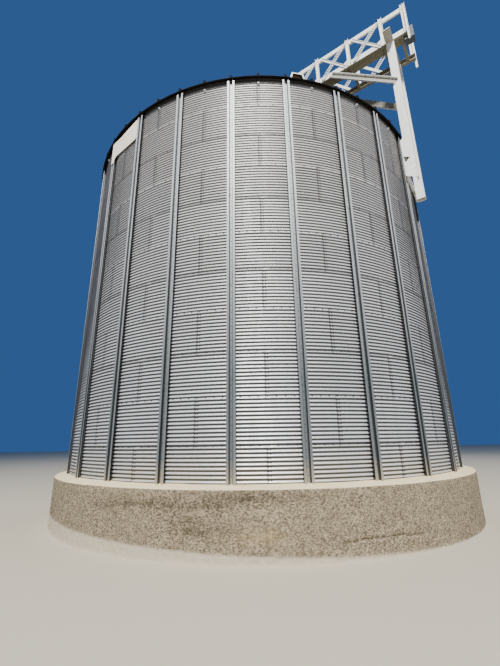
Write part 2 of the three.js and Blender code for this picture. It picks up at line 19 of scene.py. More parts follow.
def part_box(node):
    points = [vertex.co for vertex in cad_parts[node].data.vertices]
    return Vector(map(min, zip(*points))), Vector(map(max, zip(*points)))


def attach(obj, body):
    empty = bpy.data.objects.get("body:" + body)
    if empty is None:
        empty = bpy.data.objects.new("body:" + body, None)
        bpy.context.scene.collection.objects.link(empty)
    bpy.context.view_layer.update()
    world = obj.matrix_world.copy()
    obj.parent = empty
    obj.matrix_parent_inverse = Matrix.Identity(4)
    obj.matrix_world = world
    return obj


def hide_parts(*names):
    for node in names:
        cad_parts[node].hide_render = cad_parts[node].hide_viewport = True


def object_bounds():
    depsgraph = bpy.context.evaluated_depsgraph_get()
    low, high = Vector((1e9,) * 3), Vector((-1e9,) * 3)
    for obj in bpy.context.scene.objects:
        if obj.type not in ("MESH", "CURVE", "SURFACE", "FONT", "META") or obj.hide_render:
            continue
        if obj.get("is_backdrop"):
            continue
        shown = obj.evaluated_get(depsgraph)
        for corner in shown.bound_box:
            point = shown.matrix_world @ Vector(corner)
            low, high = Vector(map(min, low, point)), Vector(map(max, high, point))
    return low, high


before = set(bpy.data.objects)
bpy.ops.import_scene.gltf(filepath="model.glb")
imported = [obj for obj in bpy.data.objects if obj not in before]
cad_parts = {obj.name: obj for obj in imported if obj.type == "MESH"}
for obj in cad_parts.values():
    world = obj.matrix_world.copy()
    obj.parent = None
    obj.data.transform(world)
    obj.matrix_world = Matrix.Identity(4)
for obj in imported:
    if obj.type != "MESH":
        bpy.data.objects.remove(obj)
CAD_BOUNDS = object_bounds()

bl_info = {
    "name": "Corrugated Grain Silo",
    "version": (1, 0, 0),
    "blender": (4, 5, 0),
    "location": "3D View > Sidebar > Silo",
    "description": "Builds the looks of a farm grain silo over its packed solids",
    "category": "Add Mesh",
}

TURN = 2 * math.pi
UP = np.array((0.0, 0.0, 1.0))
STEEP_EDGE = math.radians(60)
SEATING_GAP = 0.0003

# Wall: rings of corrugated sheet, two bays to a sheet
PITCH = 0.0762
RING_HEIGHT = 12 * PITCH
BAYS = 26
SHEETS = BAYS // 2
BAY = TURN / BAYS
FIRST_STIFFENER = math.radians(-5.53)
WALL_RADIUS = 5.830
CREST = 0.009
FIRST_SEAM = 1.8745
SEAMS = 10
COARSE_SEAMS_FROM = 6
SHEET_LAP = 0.0018
LAP_EDGE = 0.050
LAP_BOLTS = (0.030, 0.076)

# Plinth, and tops that the frame gives
PLINTH_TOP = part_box("plinth")[1].z
PLINTH_RADIUS = 6.193
LEDGE_EDGE = PLINTH_TOP - 0.042
EDGE_ROUND = 0.018
WALL_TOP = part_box("wall_segment_01")[1].z
EAVE_BAND = WALL_TOP - 0.12
STIFFENER_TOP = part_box("stiffener_01")[1].z

# Stiffeners
WEB_FACE = WALL_RADIUS + CREST + SEATING_GAP
STIFFENER_DEPTH = 0.066
STIFFENER_SHEET = 0.005
STIFFENER_HALF = 0.0925
STIFFENER_WEB = STIFFENER_HALF - 0.043
LIPS = WEB_FACE + STIFFENER_DEPTH
SPLICES = (3.16, 5.26, 7.40, 9.50)
SPLICE_SHIFTS = (0.0, -0.04, 0.05, 0.0)

# Roof
ROOF_SLOPE = math.radians(30)
EAVE_RADIUS = 5.951
COLLAR_RADIUS = 0.620
COLLAR_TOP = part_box("peak_collar")[1].z
CLIP_HEIGHT = 10.795
ROOF_SHEET = 0.012

# Vent on the roof
VENT_AZIMUTH = FIRST_STIFFENER + 1.285 * BAY
VENT_FRONT = 5.700
VENT_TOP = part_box("roof_vent")[1].z
VENT_TOP_HALF = 0.158
VENT_FLARE = 0.25

# Bridge, in a frame of its own: X outwards from the silo's axis, Y to the far side
BRIDGE_AZIMUTH = FIRST_STIFFENER + 4.5 * BAY
BRIDGE_TURN = Matrix.Rotation(BRIDGE_AZIMUTH - math.pi / 2, 3, "Z")
NEAR_FACE = -0.803
FAR_FACE = 0.355
BED_BOTTOM, BED_TOP = (corner.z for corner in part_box("bridge_bed"))
TOP_CHORD = (15.780, 15.950)
BRIDGE_INNER = -0.121
BRIDGE_OUTER = 6.690
POSTS = (-0.061, 1.128, 2.317, 3.505, 4.694, 5.883)
POST_ENDS = (14.775, 16.010)
END_POSTS = ((6.583, 14.775), (6.669, 14.418))
END_POST_TOP = 16.020
CHANNEL_ENDS = ((0.180, 15.845), (-0.140, 14.810))
LATTICE_ENDS = ((0.180, 14.825), (-0.100, 15.875))

# The photograph's camera
CAMERA_PLACE = (0.0, -12.8085, 1.9627)
CAMERA_YAW = -0.0257
CAMERA_PITCH = 0.2936
CAMERA_ROLL = -0.0164
CAMERA_LENS = 19.284

# Colours of dirt and wear, and of painted shade and shadow
PALE_MOTTLE = (0.56, 0.53, 0.49)
PALE_DUST = (0.76, 0.67, 0.53)
# Painted shade on the wall's slopes that face down
SLOPE_SHADE = (0.048, 0.047, 0.048)
# Painted shadow behind the stiffeners' lips and along the sheet edges
LIP_SHADOW = (0.03, 0.03, 0.032)
# Painted shadow under the eave
EAVE_SHADOW = (0.02, 0.018, 0.018)
DARK_ZINC = (0.13, 0.15, 0.15)
BROWN_DUST = (0.50, 0.43, 0.32)
# Painted shade on the stiffeners' flanges
FLANGE_SHADE = (0.03, 0.032, 0.034)
BOLT_STEEL = ((0.022, 0.023, 0.025), (0.08, 0.07, 0.06))
# Black of the vent's screen: painted shade for the vent's dark inside, with rust
SCREEN_SHADE_AND_RUST = ((0.004, 0.004, 0.003), (0.030, 0.016, 0.007))
ROOF_RUST = (0.040, 0.022, 0.013)
DAMP = (0.085, 0.070, 0.042)
OCHRE = (0.42, 0.30, 0.13)
GROUND_DUST = ((0.60, 0.50, 0.36), (0.76, 0.67, 0.52))
LEDGE_RUST = (0.30, 0.14, 0.06)
PAINT_RUST = (0.23, 0.11, 0.05)
# Painted shade in brown on the bridge's undersides and inner faces
BRIDGE_SHADE = (0.15, 0.13, 0.08)
# Trough paint, darkened as painted shade of its underside
TROUGH_PAINT_AND_SHADE = (0.24, 0.22, 0.15)
FADED_BAND = (0.62, 0.54, 0.52)
SKY = (0.10, 0.30, 0.85, 1.0)

# A mesh: its points, the points of all its faces in turn, and how many each face has
Shape = namedtuple("Shape", "points loops sizes")


def joined(shapes):
    """One shape out of many: their points and faces, one after the other."""
    starts = np.cumsum([0] + [len(shape.points) for shape in shapes[:-1]])
    points = np.vstack([shape.points for shape in shapes])
    loops = np.concatenate([shape.loops + start for shape, start in zip(shapes, starts)])
    return Shape(points, loops, np.concatenate([shape.sizes for shape in shapes]))


def surface(points, close_rows=False, close_columns=False):
    """A skin over a grid of points, its rows up and its columns to the right: a
    face between each point, its neighbour to the right, and the two above."""
    index = np.arange(points.shape[0] * points.shape[1]).reshape(points.shape[:2])
    if close_rows:
        index = np.vstack([index, index[:1]])
    if close_columns:
        index = np.hstack([index, index[:, :1]])
    corners = (index[:-1, :-1], index[:-1, 1:], index[1:, 1:], index[1:, :-1])
    loops = np.stack(corners, axis=-1).ravel()
    return Shape(points.reshape(-1, 3), loops, np.full(len(loops) // 4, 4))


def hoop(points):
    """A skin over a grid that closes on itself in its rows and its columns."""
    return surface(points, True, True)


def turned_solid(points, poles):
    """A skin over a grid that closes on itself in its columns, with its lowest
    and highest rows each drawn together to one point."""
    rows, columns = points.shape[:2]
    skin = surface(points, close_columns=True)
    first = np.arange(columns)
    last = first + (rows - 1) * columns
    low = np.full(columns, len(skin.points))
    foot = np.stack([np.roll(first, -1), first, low], axis=-1)
    head = np.stack([last, np.roll(last, -1), low + 1], axis=-1)
    loops = np.concatenate([skin.loops, foot.ravel(), head.ravel()])
    sizes = np.append(skin.sizes, np.full(2 * columns, 3))
    return Shape(np.vstack([skin.points, poles]), loops, sizes)


def around(radius, azimuth, height):
    """Points at a radius, an azimuth and a height: x is the radius times the
    azimuth's sine, y is minus the radius times its cosine."""
    radius, azimuth, height = np.broadcast_arrays(radius, azimuth, height)
    return np.stack([radius * np.sin(azimuth), -radius * np.cos(azimuth), height], axis=-1)


def bar_axes(start, end, up):
    """Directions of a straight bar, in rows: along it, to its side, and at a
    right angle to both."""
    along = np.subtract(end, start) / np.linalg.norm(np.subtract(end, start))
    side = np.cross(along, up)
    side = side / np.linalg.norm(side)
    return np.stack([along, side, np.cross(side, along)])


def extruded(section, start, end, up):
    """A closed outline carried straight from start to end. An outline's point
    (a, b) lies a to the side and b towards up."""
    section = np.array(section, float)
    ahead = np.roll(section, -1, axis=0)
    if np.sum(section[:, 0] * ahead[:, 1] - ahead[:, 0] * section[:, 1]) < 0:
        section = section[::-1]
    ring = section @ bar_axes(start, end, up)[1:]
    near = np.arange(len(ring))
    far = near + len(ring)
    sides = np.stack([np.roll(near, -1), near, far, np.roll(far, -1)], axis=-1)
    loops = np.concatenate([near, far[::-1], sides.ravel()])
    sizes = np.append([len(ring)] * 2, np.full(len(ring), 4))
    return Shape(np.vstack([ring + start, ring + end]), loops, sizes)


def box(low, high):
    """The six faces between two opposite corners."""
    (x0, y0, z0), (x1, y1, z1) = low, high
    outline = [(-x0, y0), (-x1, y0), (-x1, y1), (-x0, y1)]
    return extruded(outline, (0, 0, z0), (0, 0, z1), (0, 1, 0))


def channel_section(width, leg, sheet):
    """A U across the side direction, its legs along up."""
    half = width / 2
    inner = half - sheet
    right = [(half, 0), (half, leg), (inner, leg), (inner, sheet)]
    return right + [(-x, z) for x, z in reversed(right)]


def repeated(shape, places, axes):
    """Copies of a shape: copy k stands at places[k], its x, y and z along the
    rows of axes[k], or along those of axes where all copies share them."""
    places = np.reshape(places, (-1, 3))
    axes = np.broadcast_to(axes, (len(places), 3, 3))
    points = places[:, None, :] + np.einsum("nj,kji->kni", shape.points, axes)
    shift = np.arange(len(places))[:, None] * len(shape.points)
    sizes = np.tile(shape.sizes, len(places))
    return Shape(points.reshape(-1, 3), (shape.loops + shift).ravel(), sizes)


def wall_axes(azimuth):
    """For each azimuth, or for one, the directions right along the wall, up, and
    out of it."""
    sine, cosine = np.sin(azimuth), np.cos(azimuth)
    none = np.zeros_like(sine)
    rows = [(cosine, sine, none), (none, none, none + 1), (sine, -cosine, none)]
    return np.stack([np.stack(row, axis=-1) for row in rows], axis=-2)


def on_wall(shape, radius, azimuth, height):
    """Copies of a shape at the places around() gives, each facing out of the wall."""
    places = around(radius, azimuth, height)
    axes = wall_axes(np.broadcast_to(azimuth, places.shape[:-1]))
    return repeated(shape, places, axes.reshape(-1, 3, 3))


def bolt_head(radius, height, rings):
    """A six-sided solid along z: a ring for each pair of shares of the radius
    and the height, the lowest and the highest one closed by a flat face."""
    corner = np.arange(6)
    wide, rise = (np.array(rings) * (radius, height)).T[..., None]
    skin = surface(around(wide, (corner / 6 + 0.25) * TURN, rise), close_columns=True)
    loops = np.concatenate([skin.loops, corner[::-1], corner + 6 * (len(rings) - 1)])
    return Shape(skin.points, loops, np.append(skin.sizes, [6, 6]))


def hex_bolt(radius, height=0.011):
    """A bolt head on its washer, along z from z = 0."""
    rings = ((1.25, -0.25), (1.25, 0.22), (1.0, 0.24), (1.0, 0.85), (0.8, 1.0))
    return bolt_head(radius, height, rings)


def small_bolt(radius, height):
    """The plainest bolt head, for the thousands on the wall."""
    return bolt_head(radius, height, ((1.0, -0.2), (1.0, 0.7), (0.75, 1.0)))


def lattice_noise(u, v, cells_u, cells_v, seed):
    """Smooth random heights from 0 to 1: a random value at each crossing of a
    lattice that closes on itself in u, blended between crossings by a weight
    that starts and ends level."""
    table = np.random.default_rng(seed).random((cells_v + 2, cells_u))
    x, y = np.mod(u, 1.0) * cells_u, np.clip(v, 0, 1) * cells_v
    column, row = np.floor(x).astype(int), np.floor(y).astype(int)
    fx, fy = x - column, y - row
    fx, fy = fx * fx * (3 - 2 * fx), fy * fy * (3 - 2 * fy)
    after = (column + 1) % cells_u
    column = column % cells_u
    low = table[row, column] * (1 - fx) + table[row, after] * fx
    high = table[row + 1, column] * (1 - fx) + table[row + 1, after] * fx
    return low * (1 - fy) + high * fy


def spot(azimuth, height, at, size):
    """A soft round mark: 1 at its centre (degrees, metres), falling with the
    square of the distance over its size (metres along and up)."""
    along = (azimuth - math.radians(at[0])) * PLINTH_RADIUS / size[0]
    rise = (height - at[1]) / size[1]
    return np.exp(-(along**2) - rise**2)


def in_bridge_frame(shape):
    """The same shape, turned from the bridge's own frame to the silo's."""
    return Shape(shape.points @ np.array(BRIDGE_TURN).T, shape.loops, shape.sizes)


def make_piece(name, shape, material, smooth=False, values=None, merge=False):
    """A mesh object of a shape, with its finish, riding on the silo. A smooth
    one keeps its steep edges sharp. values are numbers at its points that the
    finish reads by name."""
    mesh = bpy.data.meshes.new(name)
    mesh.vertices.add(len(shape.points))
    mesh.vertices.foreach_set("co", shape.points.astype(np.float32).ravel())
    mesh.loops.add(len(shape.loops))
    mesh.loops.foreach_set("vertex_index", shape.loops.astype(np.int32))
    mesh.polygons.add(len(shape.sizes))
    starts = np.cumsum(shape.sizes) - shape.sizes
    mesh.polygons.foreach_set("loop_start", starts.astype(np.int32))
    mesh.polygons.foreach_set("use_smooth", np.full(len(shape.sizes), smooth))
    for label, numbers in (values or {}).items():
        layer = mesh.attributes.new(label, "FLOAT", "POINT")
        layer.data.foreach_set("value", numbers.astype(np.float32).ravel())
    mesh.update(calc_edges=True)
    if merge:
        welded = bmesh.new()
        welded.from_mesh(mesh)
        bmesh.ops.remove_doubles(welded, verts=welded.verts, dist=1e-5)
        welded.to_mesh(mesh)
        welded.free()
    if smooth:
        mesh.set_sharp_from_angle(angle=STEEP_EDGE)
    mesh.materials.append(material)
    piece = bpy.data.objects.new(name, mesh)
    bpy.context.scene.collection.objects.link(piece)
    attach(piece, "root")
    return piece


def dress_node(name, material):
    """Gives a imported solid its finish."""
    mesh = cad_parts[name].data
    mesh.materials.clear()
    mesh.materials.append(material)


def shade(colour, factor):
    """A colour made lighter or darker."""
    return tuple(min(1.0, channel * factor) for channel in colour[:3])


class Finish:
    """A node material: a base colour that coats are laid over, one by one."""

    def __init__(self, name, roughness, metallic=0.0, specular=0.5):
        self.material = bpy.data.materials.new(name)
        self.material.use_nodes = True
        self.tree = self.material.node_tree
        self.shader = self.tree.nodes["Principled BSDF"]
        self.shader.inputs["Roughness"].default_value = roughness
        self.shader.inputs["Metallic"].default_value = metallic
        self.shader.inputs["Specular IOR Level"].default_value = specular
        self.place = self.node("TexCoord", "Object", {})

    def node(self, kind, output, inputs, **choices):
        """Adds a node, feeds its inputs and gives one of its outputs."""
        node = self.tree.nodes.new("ShaderNode" + kind)
        for choice, value in choices.items():
            setattr(node, choice, value)
        for name, value in inputs.items():
            self.feed(node.inputs[name], value)
        return node.outputs[output]

    def feed(self, socket, value):
        """Links another node's output to a socket, or sets it to a value."""
        if isinstance(value, bpy.types.NodeSocket):
            self.tree.links.new(value, socket)
        elif isinstance(value, tuple) and len(socket.default_value) == 4:
            socket.default_value = (*value, 1.0)
        else:
            socket.default_value = value

    def stretched(self, scale):
        return self.node("Mapping", "Vector", {"Vector": self.place, "Scale": scale})

    def noise(self, scale, detail=4.0, roughness=0.55, stretch=None):
        place = self.stretched(stretch) if stretch else self.place
        inputs = {"Vector": place, "Scale": scale, "Detail": detail, "Roughness": roughness}
        return self.node("TexNoise", "Fac", inputs)

    def attribute(self, name):
        return self.node("Attribute", "Fac", {}, attribute_name=name)

    def along(self, axis):
        return self.node("SeparateXYZ", axis, {0: self.place})

    def radius(self):
        flat = self.stretched((1, 1, 0))
        return self.node("VectorMath", "Value", {0: flat}, operation="LENGTH")

    def across(self):
        """Distance along the bridge's own Y, from its near side to its far one."""
        far = tuple(BRIDGE_TURN.col[1])
        return self.node("VectorMath", "Value", {0: self.place, 1: far}, operation="DOT_PRODUCT")

    def maths(self, operation, first, second=0.0):
        return self.node("Math", "Value", {0: first, 1: second}, operation=operation)

    def from_stiffener(self):
        """Distance along the wall from the middle of the nearest stiffener: the
        azimuth in bays, less the nearest whole number of bays."""
        back = self.maths("MULTIPLY", self.along("Y"), -1.0)
        azimuth = self.maths("ARCTAN2", self.along("X"), back)
        bays = self.maths("DIVIDE", self.maths("SUBTRACT", azimuth, FIRST_STIFFENER), BAY)
        offset = self.maths("SUBTRACT", bays, self.maths("ROUND", bays))
        return self.maths("MULTIPLY", self.maths("ABSOLUTE", offset), BAY * WALL_RADIUS)

    def between(self, value, low, high, to_low=0.0, to_high=1.0):
        """to_low up to a low value, to_high from a high one, even in between."""
        limits = {"From Min": low, "From Max": high, "To Min": to_low, "To Max": to_high}
        return self.node("MapRange", "Result", {"Value": value, **limits})

    def mix(self, factor, first, second):
        inputs = {"Factor": factor, "A": first, "B": second}
        return self.node("Mix", "Result", inputs, data_type="RGBA")

    def coat(self, amount, colour):
        """Lays a colour over the base, as thick as the amount."""
        self.base = self.mix(amount, self.base, colour)

    def done(self, roughness=None, relief=None, depth=0.0):
        """Feeds the shader, and gives the material."""
        self.feed(self.shader.inputs["Base Color"], self.base)
        if roughness is not None:
            self.feed(self.shader.inputs["Roughness"], roughness)
        if relief is not None:
            inputs = {"Height": relief, "Distance": depth, "Strength": 1.0}
            self.feed(self.shader.inputs["Normal"], self.node("Bump", "Normal", inputs))
        return self.material


def galvanised_sheet(settings):
    """Dulled zinc, warmer high up: a tone of its own to each sheet, faint grain,
    streaks that run down, pale dust towards the wall's foot, painted shadow in a
    band under the eave, behind each stiffener's lips and along the ring and sheet
    edges, and painted shade on the slopes that face down, deepest low on the wall."""
    finish = Finish("galvanised sheet", 0.5, 0.3)
    colour = tuple(settings.sheet_colour)
    height, tone = finish.along("Z"), finish.attribute("tone")
    cool = (colour[0] * 0.93, colour[1] * 0.99, colour[2] * 1.02)
    warm = (colour[0] * 1.02, colour[1], colour[2] * 0.96)
    tints = [finish.mix(tone, shade(tint, 0.90), shade(tint, 1.08)) for tint in (cool, warm)]
    finish.base = finish.mix(finish.between(height, 3.0, 9.0), *tints)
    spangle = finish.node("TexVoronoi", "Color", {"Vector": finish.place, "Scale": 38.0})
    finish.coat(0.05, spangle)
    streak = finish.noise(1.0, 5.0, 0.6, (5.0, 5.0, 0.35))
    finish.coat(finish.between(streak, 0.5, 0.78, 0.0, 0.30), shade(colour, 0.62))
    finish.coat(finish.between(finish.noise(2.2, 3.0), 0.45, 0.75, 0.0, 0.22), PALE_MOTTLE)
    dust = finish.between(height, PLINTH_TOP + 0.05, PLINTH_TOP + 0.75, 1.0, 0.0)
    patches = finish.between(finish.noise(3.0), 0.25, 0.65)
    finish.coat(finish.maths("MULTIPLY", dust, patches), PALE_DUST)
    # Painted shade on the slopes that face down, deepest low on the wall
    grime = finish.between(height, 3.0, 10.0, 0.97, 0.80)
    slopes = finish.between(finish.attribute("under"), 0.26, 0.62)
    finish.coat(finish.maths("MULTIPLY", grime, slopes), SLOPE_SHADE)
    # Painted shadow in the crevice behind each stiffener's lips, and along each ring's foot and
    # each sheet's first edge
    behind_lips = finish.between(finish.from_stiffener(), 0.088, 0.102, 0.92, 0.0)
    edges = finish.between(finish.attribute("edge"), 0.2, 0.8)
    finish.coat(finish.maths("MAXIMUM", behind_lips, edges), LIP_SHADOW)
    # Painted shadow in a band under the eave
    soffit_shadow = finish.between(height, EAVE_BAND - 0.02, EAVE_BAND + 0.02, 0.0, 0.9)
    finish.coat(soffit_shadow, EAVE_SHADOW)
    gloss = finish.between(streak, 0.3, 0.8, 0.38, 0.58)
    return finish.done(gloss, finish.noise(60.0, 2.0), 0.0006)


def galvanised_section(settings, grime=0.0):
    """Zinc on rolled section: darker towards the foot, with fine grain and dull
    streaks. Painted shade lies in the corners of the web and on the flanges up to
    the lips, deepest on their outer sides; grime sets how dark it is."""
    finish = Finish("galvanised section", 0.45, 0.2)
    colour = tuple(settings.stiffener_colour)
    height, offset = finish.along("Z"), finish.from_stiffener()
    rise = finish.between(height, SPLICES[0] - 0.01, SPLICES[2] + 0.4)
    finish.base = finish.mix(rise, DARK_ZINC, colour)
    grain = finish.noise(55.0, 3.0, 0.7)
    finish.coat(finish.between(grain, 0.35, 0.7, 0.0, 0.25), shade(colour, 0.72))
    streak = finish.noise(1.0, 4.0, 0.6, (9.0, 9.0, 0.5))
    finish.coat(finish.between(streak, 0.5, 0.8, 0.0, 0.4), shade(colour, 0.60))
    dust = finish.between(height, PLINTH_TOP, PLINTH_TOP + 0.45, 0.75, 0.0)
    finish.coat(dust, BROWN_DUST)
    # Painted shade in the web's corners and on the flanges, as dark as grime
    corners = finish.between(offset, 0.014, 0.030)
    below_lips = finish.between(finish.radius(), LIPS - 0.010, LIPS - 0.004, 1.0, 0.0)
    depth = finish.between(offset, 0.046, 0.048, 0.93 * grime, grime)
    flange = finish.maths("MULTIPLY", corners, below_lips)
    finish.coat(finish.maths("MULTIPLY", flange, depth), FLANGE_SHADE)
    return finish.done(finish.between(grain, 0.3, 0.7, 0.36, 0.55), grain, 0.0008)


def zinc_bolt(factor=1.0):
    """Dark weathered bolt heads and washers, paler with a higher factor."""
    finish = Finish("weathered bolt", 0.55, 0.6)
    finish.base = finish.mix(finish.noise(30.0), *(shade(steel, factor) for steel in BOLT_STEEL))
    return finish.done()


def vent_screen():
    """Black sheet with a rust-brown bloom: painted shade for the dark inside of the vent, with
    rust.
    """
    finish = Finish("vent screen", 0.9, specular=0.05)
    bloom = finish.between(finish.noise(6.0), 0.50, 0.66)
    finish.base = finish.mix(bloom, *SCREEN_SHADE_AND_RUST)
    return finish.done()


def roof_steel(settings):
    """Weathered roof sheet with rust-brown mottling, its colour darkened to near black as painted
    shade of the shaded eave.
    """
    finish = Finish("roof steel", 0.85, specular=0.08)
    colour = tuple(settings.roof_colour)
    mottle = finish.noise(1.6, 6.0, 0.65)
    finish.base = finish.mix(mottle, shade(colour, 0.65), shade(colour, 1.35))
    rust = finish.between(finish.noise(5.0, 6.0, 0.7), 0.55, 0.72, 0.0, 0.6)
    finish.coat(rust, ROOF_RUST)
    return finish.done(None, finish.noise(40.0, 3.0), 0.0008)


def roughcast(settings):
    """Thrown-on cement: a beige face of light and dark grains, with painted shade in
    its hollows and damp stains, a smooth cream ledge, and a dusty foot. The marks come from the
    mesh."""
    finish = Finish("rough-cast concrete", 0.95, specular=0.2)
    colour, screed = tuple(settings.face_colour), tuple(settings.ledge_colour)
    grain = finish.noise(25.0, 6.0, 0.8, (1, 1, 1.5))
    grains = finish.between(grain, 0.43, 0.57)
    finish.base = finish.mix(grains, shade(colour, 0.24), shade(colour, 1.55))
    patch = finish.noise(1.3, 4.0, 0.6)
    finish.coat(finish.between(patch, 0.35, 0.7, 0.0, 0.45), shade(colour, 0.72))
    # Painted shade in the hollows between the lumps
    finish.coat(finish.attribute("hollow"), shade(colour, 0.28))
    soaked = finish.between(grain, 0.42, 0.60, 1.3, 0.4)
    finish.coat(finish.maths("MULTIPLY", finish.attribute("stain"), soaked), DAMP)
    finish.coat(finish.attribute("ochre"), OCHRE)
    finish.coat(finish.attribute("dust"), finish.mix(finish.noise(9.0), *GROUND_DUST))
    trowelled = finish.noise(4.0, 6.0, 0.65)
    ledge = finish.mix(trowelled, shade(screed, 0.86), shade(screed, 1.08))
    finish.coat(finish.attribute("screed"), ledge)
    finish.coat(finish.attribute("rust"), LEDGE_RUST)
    return finish.done(None, finish.noise(70.0, 5.0, 0.7), 0.004)


def painted_steel(name, colour, below=0.0, inside=(0.0, 0.0), depth=0.92):
    """Matt paint on rolled steel: faint blotches, thin runs of dirt and small rust
    spots. Painted shade in brown, as thick as the depth, covers what lies below a
    height and what lies inside, between two distances across the bridge."""
    finish = Finish(name, 0.5)
    finish.base = finish.mix(finish.noise(2.5), shade(colour, 0.90), shade(colour, 1.05))
    dirt = finish.noise(1.0, 6.0, 0.65, (6.0, 6.0, 1.2))
    finish.coat(finish.between(dirt, 0.52, 0.80, 0.0, 0.5), shade(colour, 0.55))
    rust = finish.between(finish.noise(14.0, 6.0, 0.7), 0.66, 0.74, 0.0, 0.8)
    finish.coat(rust, PAINT_RUST)
    # Painted shade in brown: below a height, and on the inside between two distances across the
    # bridge
    across, blur = finish.across(), 0.002
    past_near = finish.between(across, inside[0], inside[0] + blur)
    before_far = finish.between(across, inside[1] - blur, inside[1], depth, 0.0)
    inner_shade = finish.maths("MULTIPLY", past_near, before_far)
    underside_shade = finish.between(finish.along("Z"), below, below + blur, depth, 0.0)
    finish.coat(finish.maths("MAXIMUM", underside_shade, inner_shade), BRIDGE_SHADE)
    gloss = finish.between(dirt, 0.3, 0.8, 0.42, 0.7)
    return finish.done(gloss, finish.noise(24.0, 3.0), 0.0006)


def banner_cloth(settings):
    """Coated cloth: a plain weave along its own two directions, faded in soft
    upright bands and dirty in patches."""
    finish = Finish("banner cloth", 0.85)
    finish.shader.inputs["Sheen Weight"].default_value = 0.15
    colour = tuple(settings.cloth_colour)
    faded = finish.noise(1.0, 4.0, 0.6, (4.5, 4.5, 0.5))
    tone = finish.between(faded, 0.35, 0.7)
    finish.base = finish.mix(tone, shade(colour, 0.86), shade(colour, 1.05))
    finish.coat(finish.between(faded, 0.60, 0.78, 0.0, 0.5), FADED_BAND)
    grime = finish.noise(7.0, 5.0, 0.65)
    finish.coat(finish.between(grime, 0.60, 0.8, 0.0, 0.30), shade(colour, 0.70))
    return finish.done(None, finish.attribute("weave"), 0.0004)


COLOUR = {"subtype": "COLOR", "size": 3, "min": 0, "max": 1}


class SiloWallSettings(bpy.types.PropertyGroup):
    """Sizes and colours of the corrugated wall and its stiffeners."""

    sheet_colour: FloatVectorProperty(
        name="Sheet colour",
        description="Zinc colour of the corrugated sheets",
        default=(0.71, 0.695, 0.675),
        **COLOUR,
    )
    stiffener_colour: FloatVectorProperty(
        name="Stiffener colour",
        description="Zinc colour of the stiffeners high on the wall",
        default=(0.57, 0.58, 0.57),
        **COLOUR,
    )
    bolt_size: FloatProperty(
        name="Bolt size",
        description="Radius of the wall's bolt heads with their washers",
        unit="LENGTH",
        default=0.0145,
    )
    steps_per_wave: IntProperty(
        name="Steps per corrugation",
        description="Rows of faces that make one corrugation round",
        min=4,
        default=8,
    )


class SiloPlinthSettings(bpy.types.PropertyGroup):
    """Sizes and colours of the concrete plinth."""

    face_colour: FloatVectorProperty(
        name="Face colour",
        description="Colour of the rough-cast face",
        default=(0.38, 0.305, 0.20),
        **COLOUR,
    )
    ledge_colour: FloatVectorProperty(
        name="Ledge colour",
        description="Colour of the smooth ledge round the wall's foot",
        default=(1.0, 0.79, 0.465),
        **COLOUR,
    )
    lump_depth: FloatProperty(
        name="Lump depth",
        description="How deep the rough-cast face is between its lumps",
        unit="LENGTH",
        default=0.020,
    )


class SiloRoofSettings(bpy.types.PropertyGroup):
    """Colour of the roof."""

    roof_colour: FloatVectorProperty(
        name="Roof colour",
        description="Colour of the weathered roof sheet",
        # Near black: darkened as painted shade of the eave's shaded underside
        default=(0.014, 0.013, 0.012),
        **COLOUR,
    )


class SiloBannerSettings(bpy.types.PropertyGroup):
    """Colour and hang of the cloth banner."""

    cloth_colour: FloatVectorProperty(
        name="Cloth colour",
        description="Colour of the faded cloth",
        default=(0.96, 0.85, 0.71),
        **COLOUR,
    )
    billow: FloatProperty(
        name="Billow",
        description="How far the cloth stands out between its ties",
        unit="LENGTH",
        default=0.010,
    )


class SiloBridgeSettings(bpy.types.PropertyGroup):
    """Colours and bolt size of the conveyor bridge."""

    paint_colour: FloatVectorProperty(
        name="Paint colour",
        description="Off-white paint of the bridge's steel",
        default=(0.80, 0.79, 0.72),
        **COLOUR,
    )
    machine_colour: FloatVectorProperty(
        name="Machine colour",
        description="Grey paint of the conveyor's boot and spout",
        # Grey paint darkened as painted shade of the boot in shadow
        default=(0.05, 0.058, 0.078),
        **COLOUR,
    )
    bolt_size: FloatProperty(
        name="Bolt size",
        description="Radius of the bridge's bolt heads",
        unit="LENGTH",
        default=0.014,
    )


class SiloStageSettings(bpy.types.PropertyGroup):
    """Floor, light and camera."""

    floor_colour: FloatVectorProperty(
        name="Floor colour",
        description="Colour of the plain floor",
        default=(0.57, 0.505, 0.37),
        **COLOUR,
    )
    key_power: FloatProperty(
        name="Key power",
        description="Power of the large lamp high behind the camera",
        unit="POWER",
        default=40000.0,
    )
    fill_strength: FloatProperty(
        name="Fill strength",
        description="Strength of the even light from all round",
        default=0.33,
    )


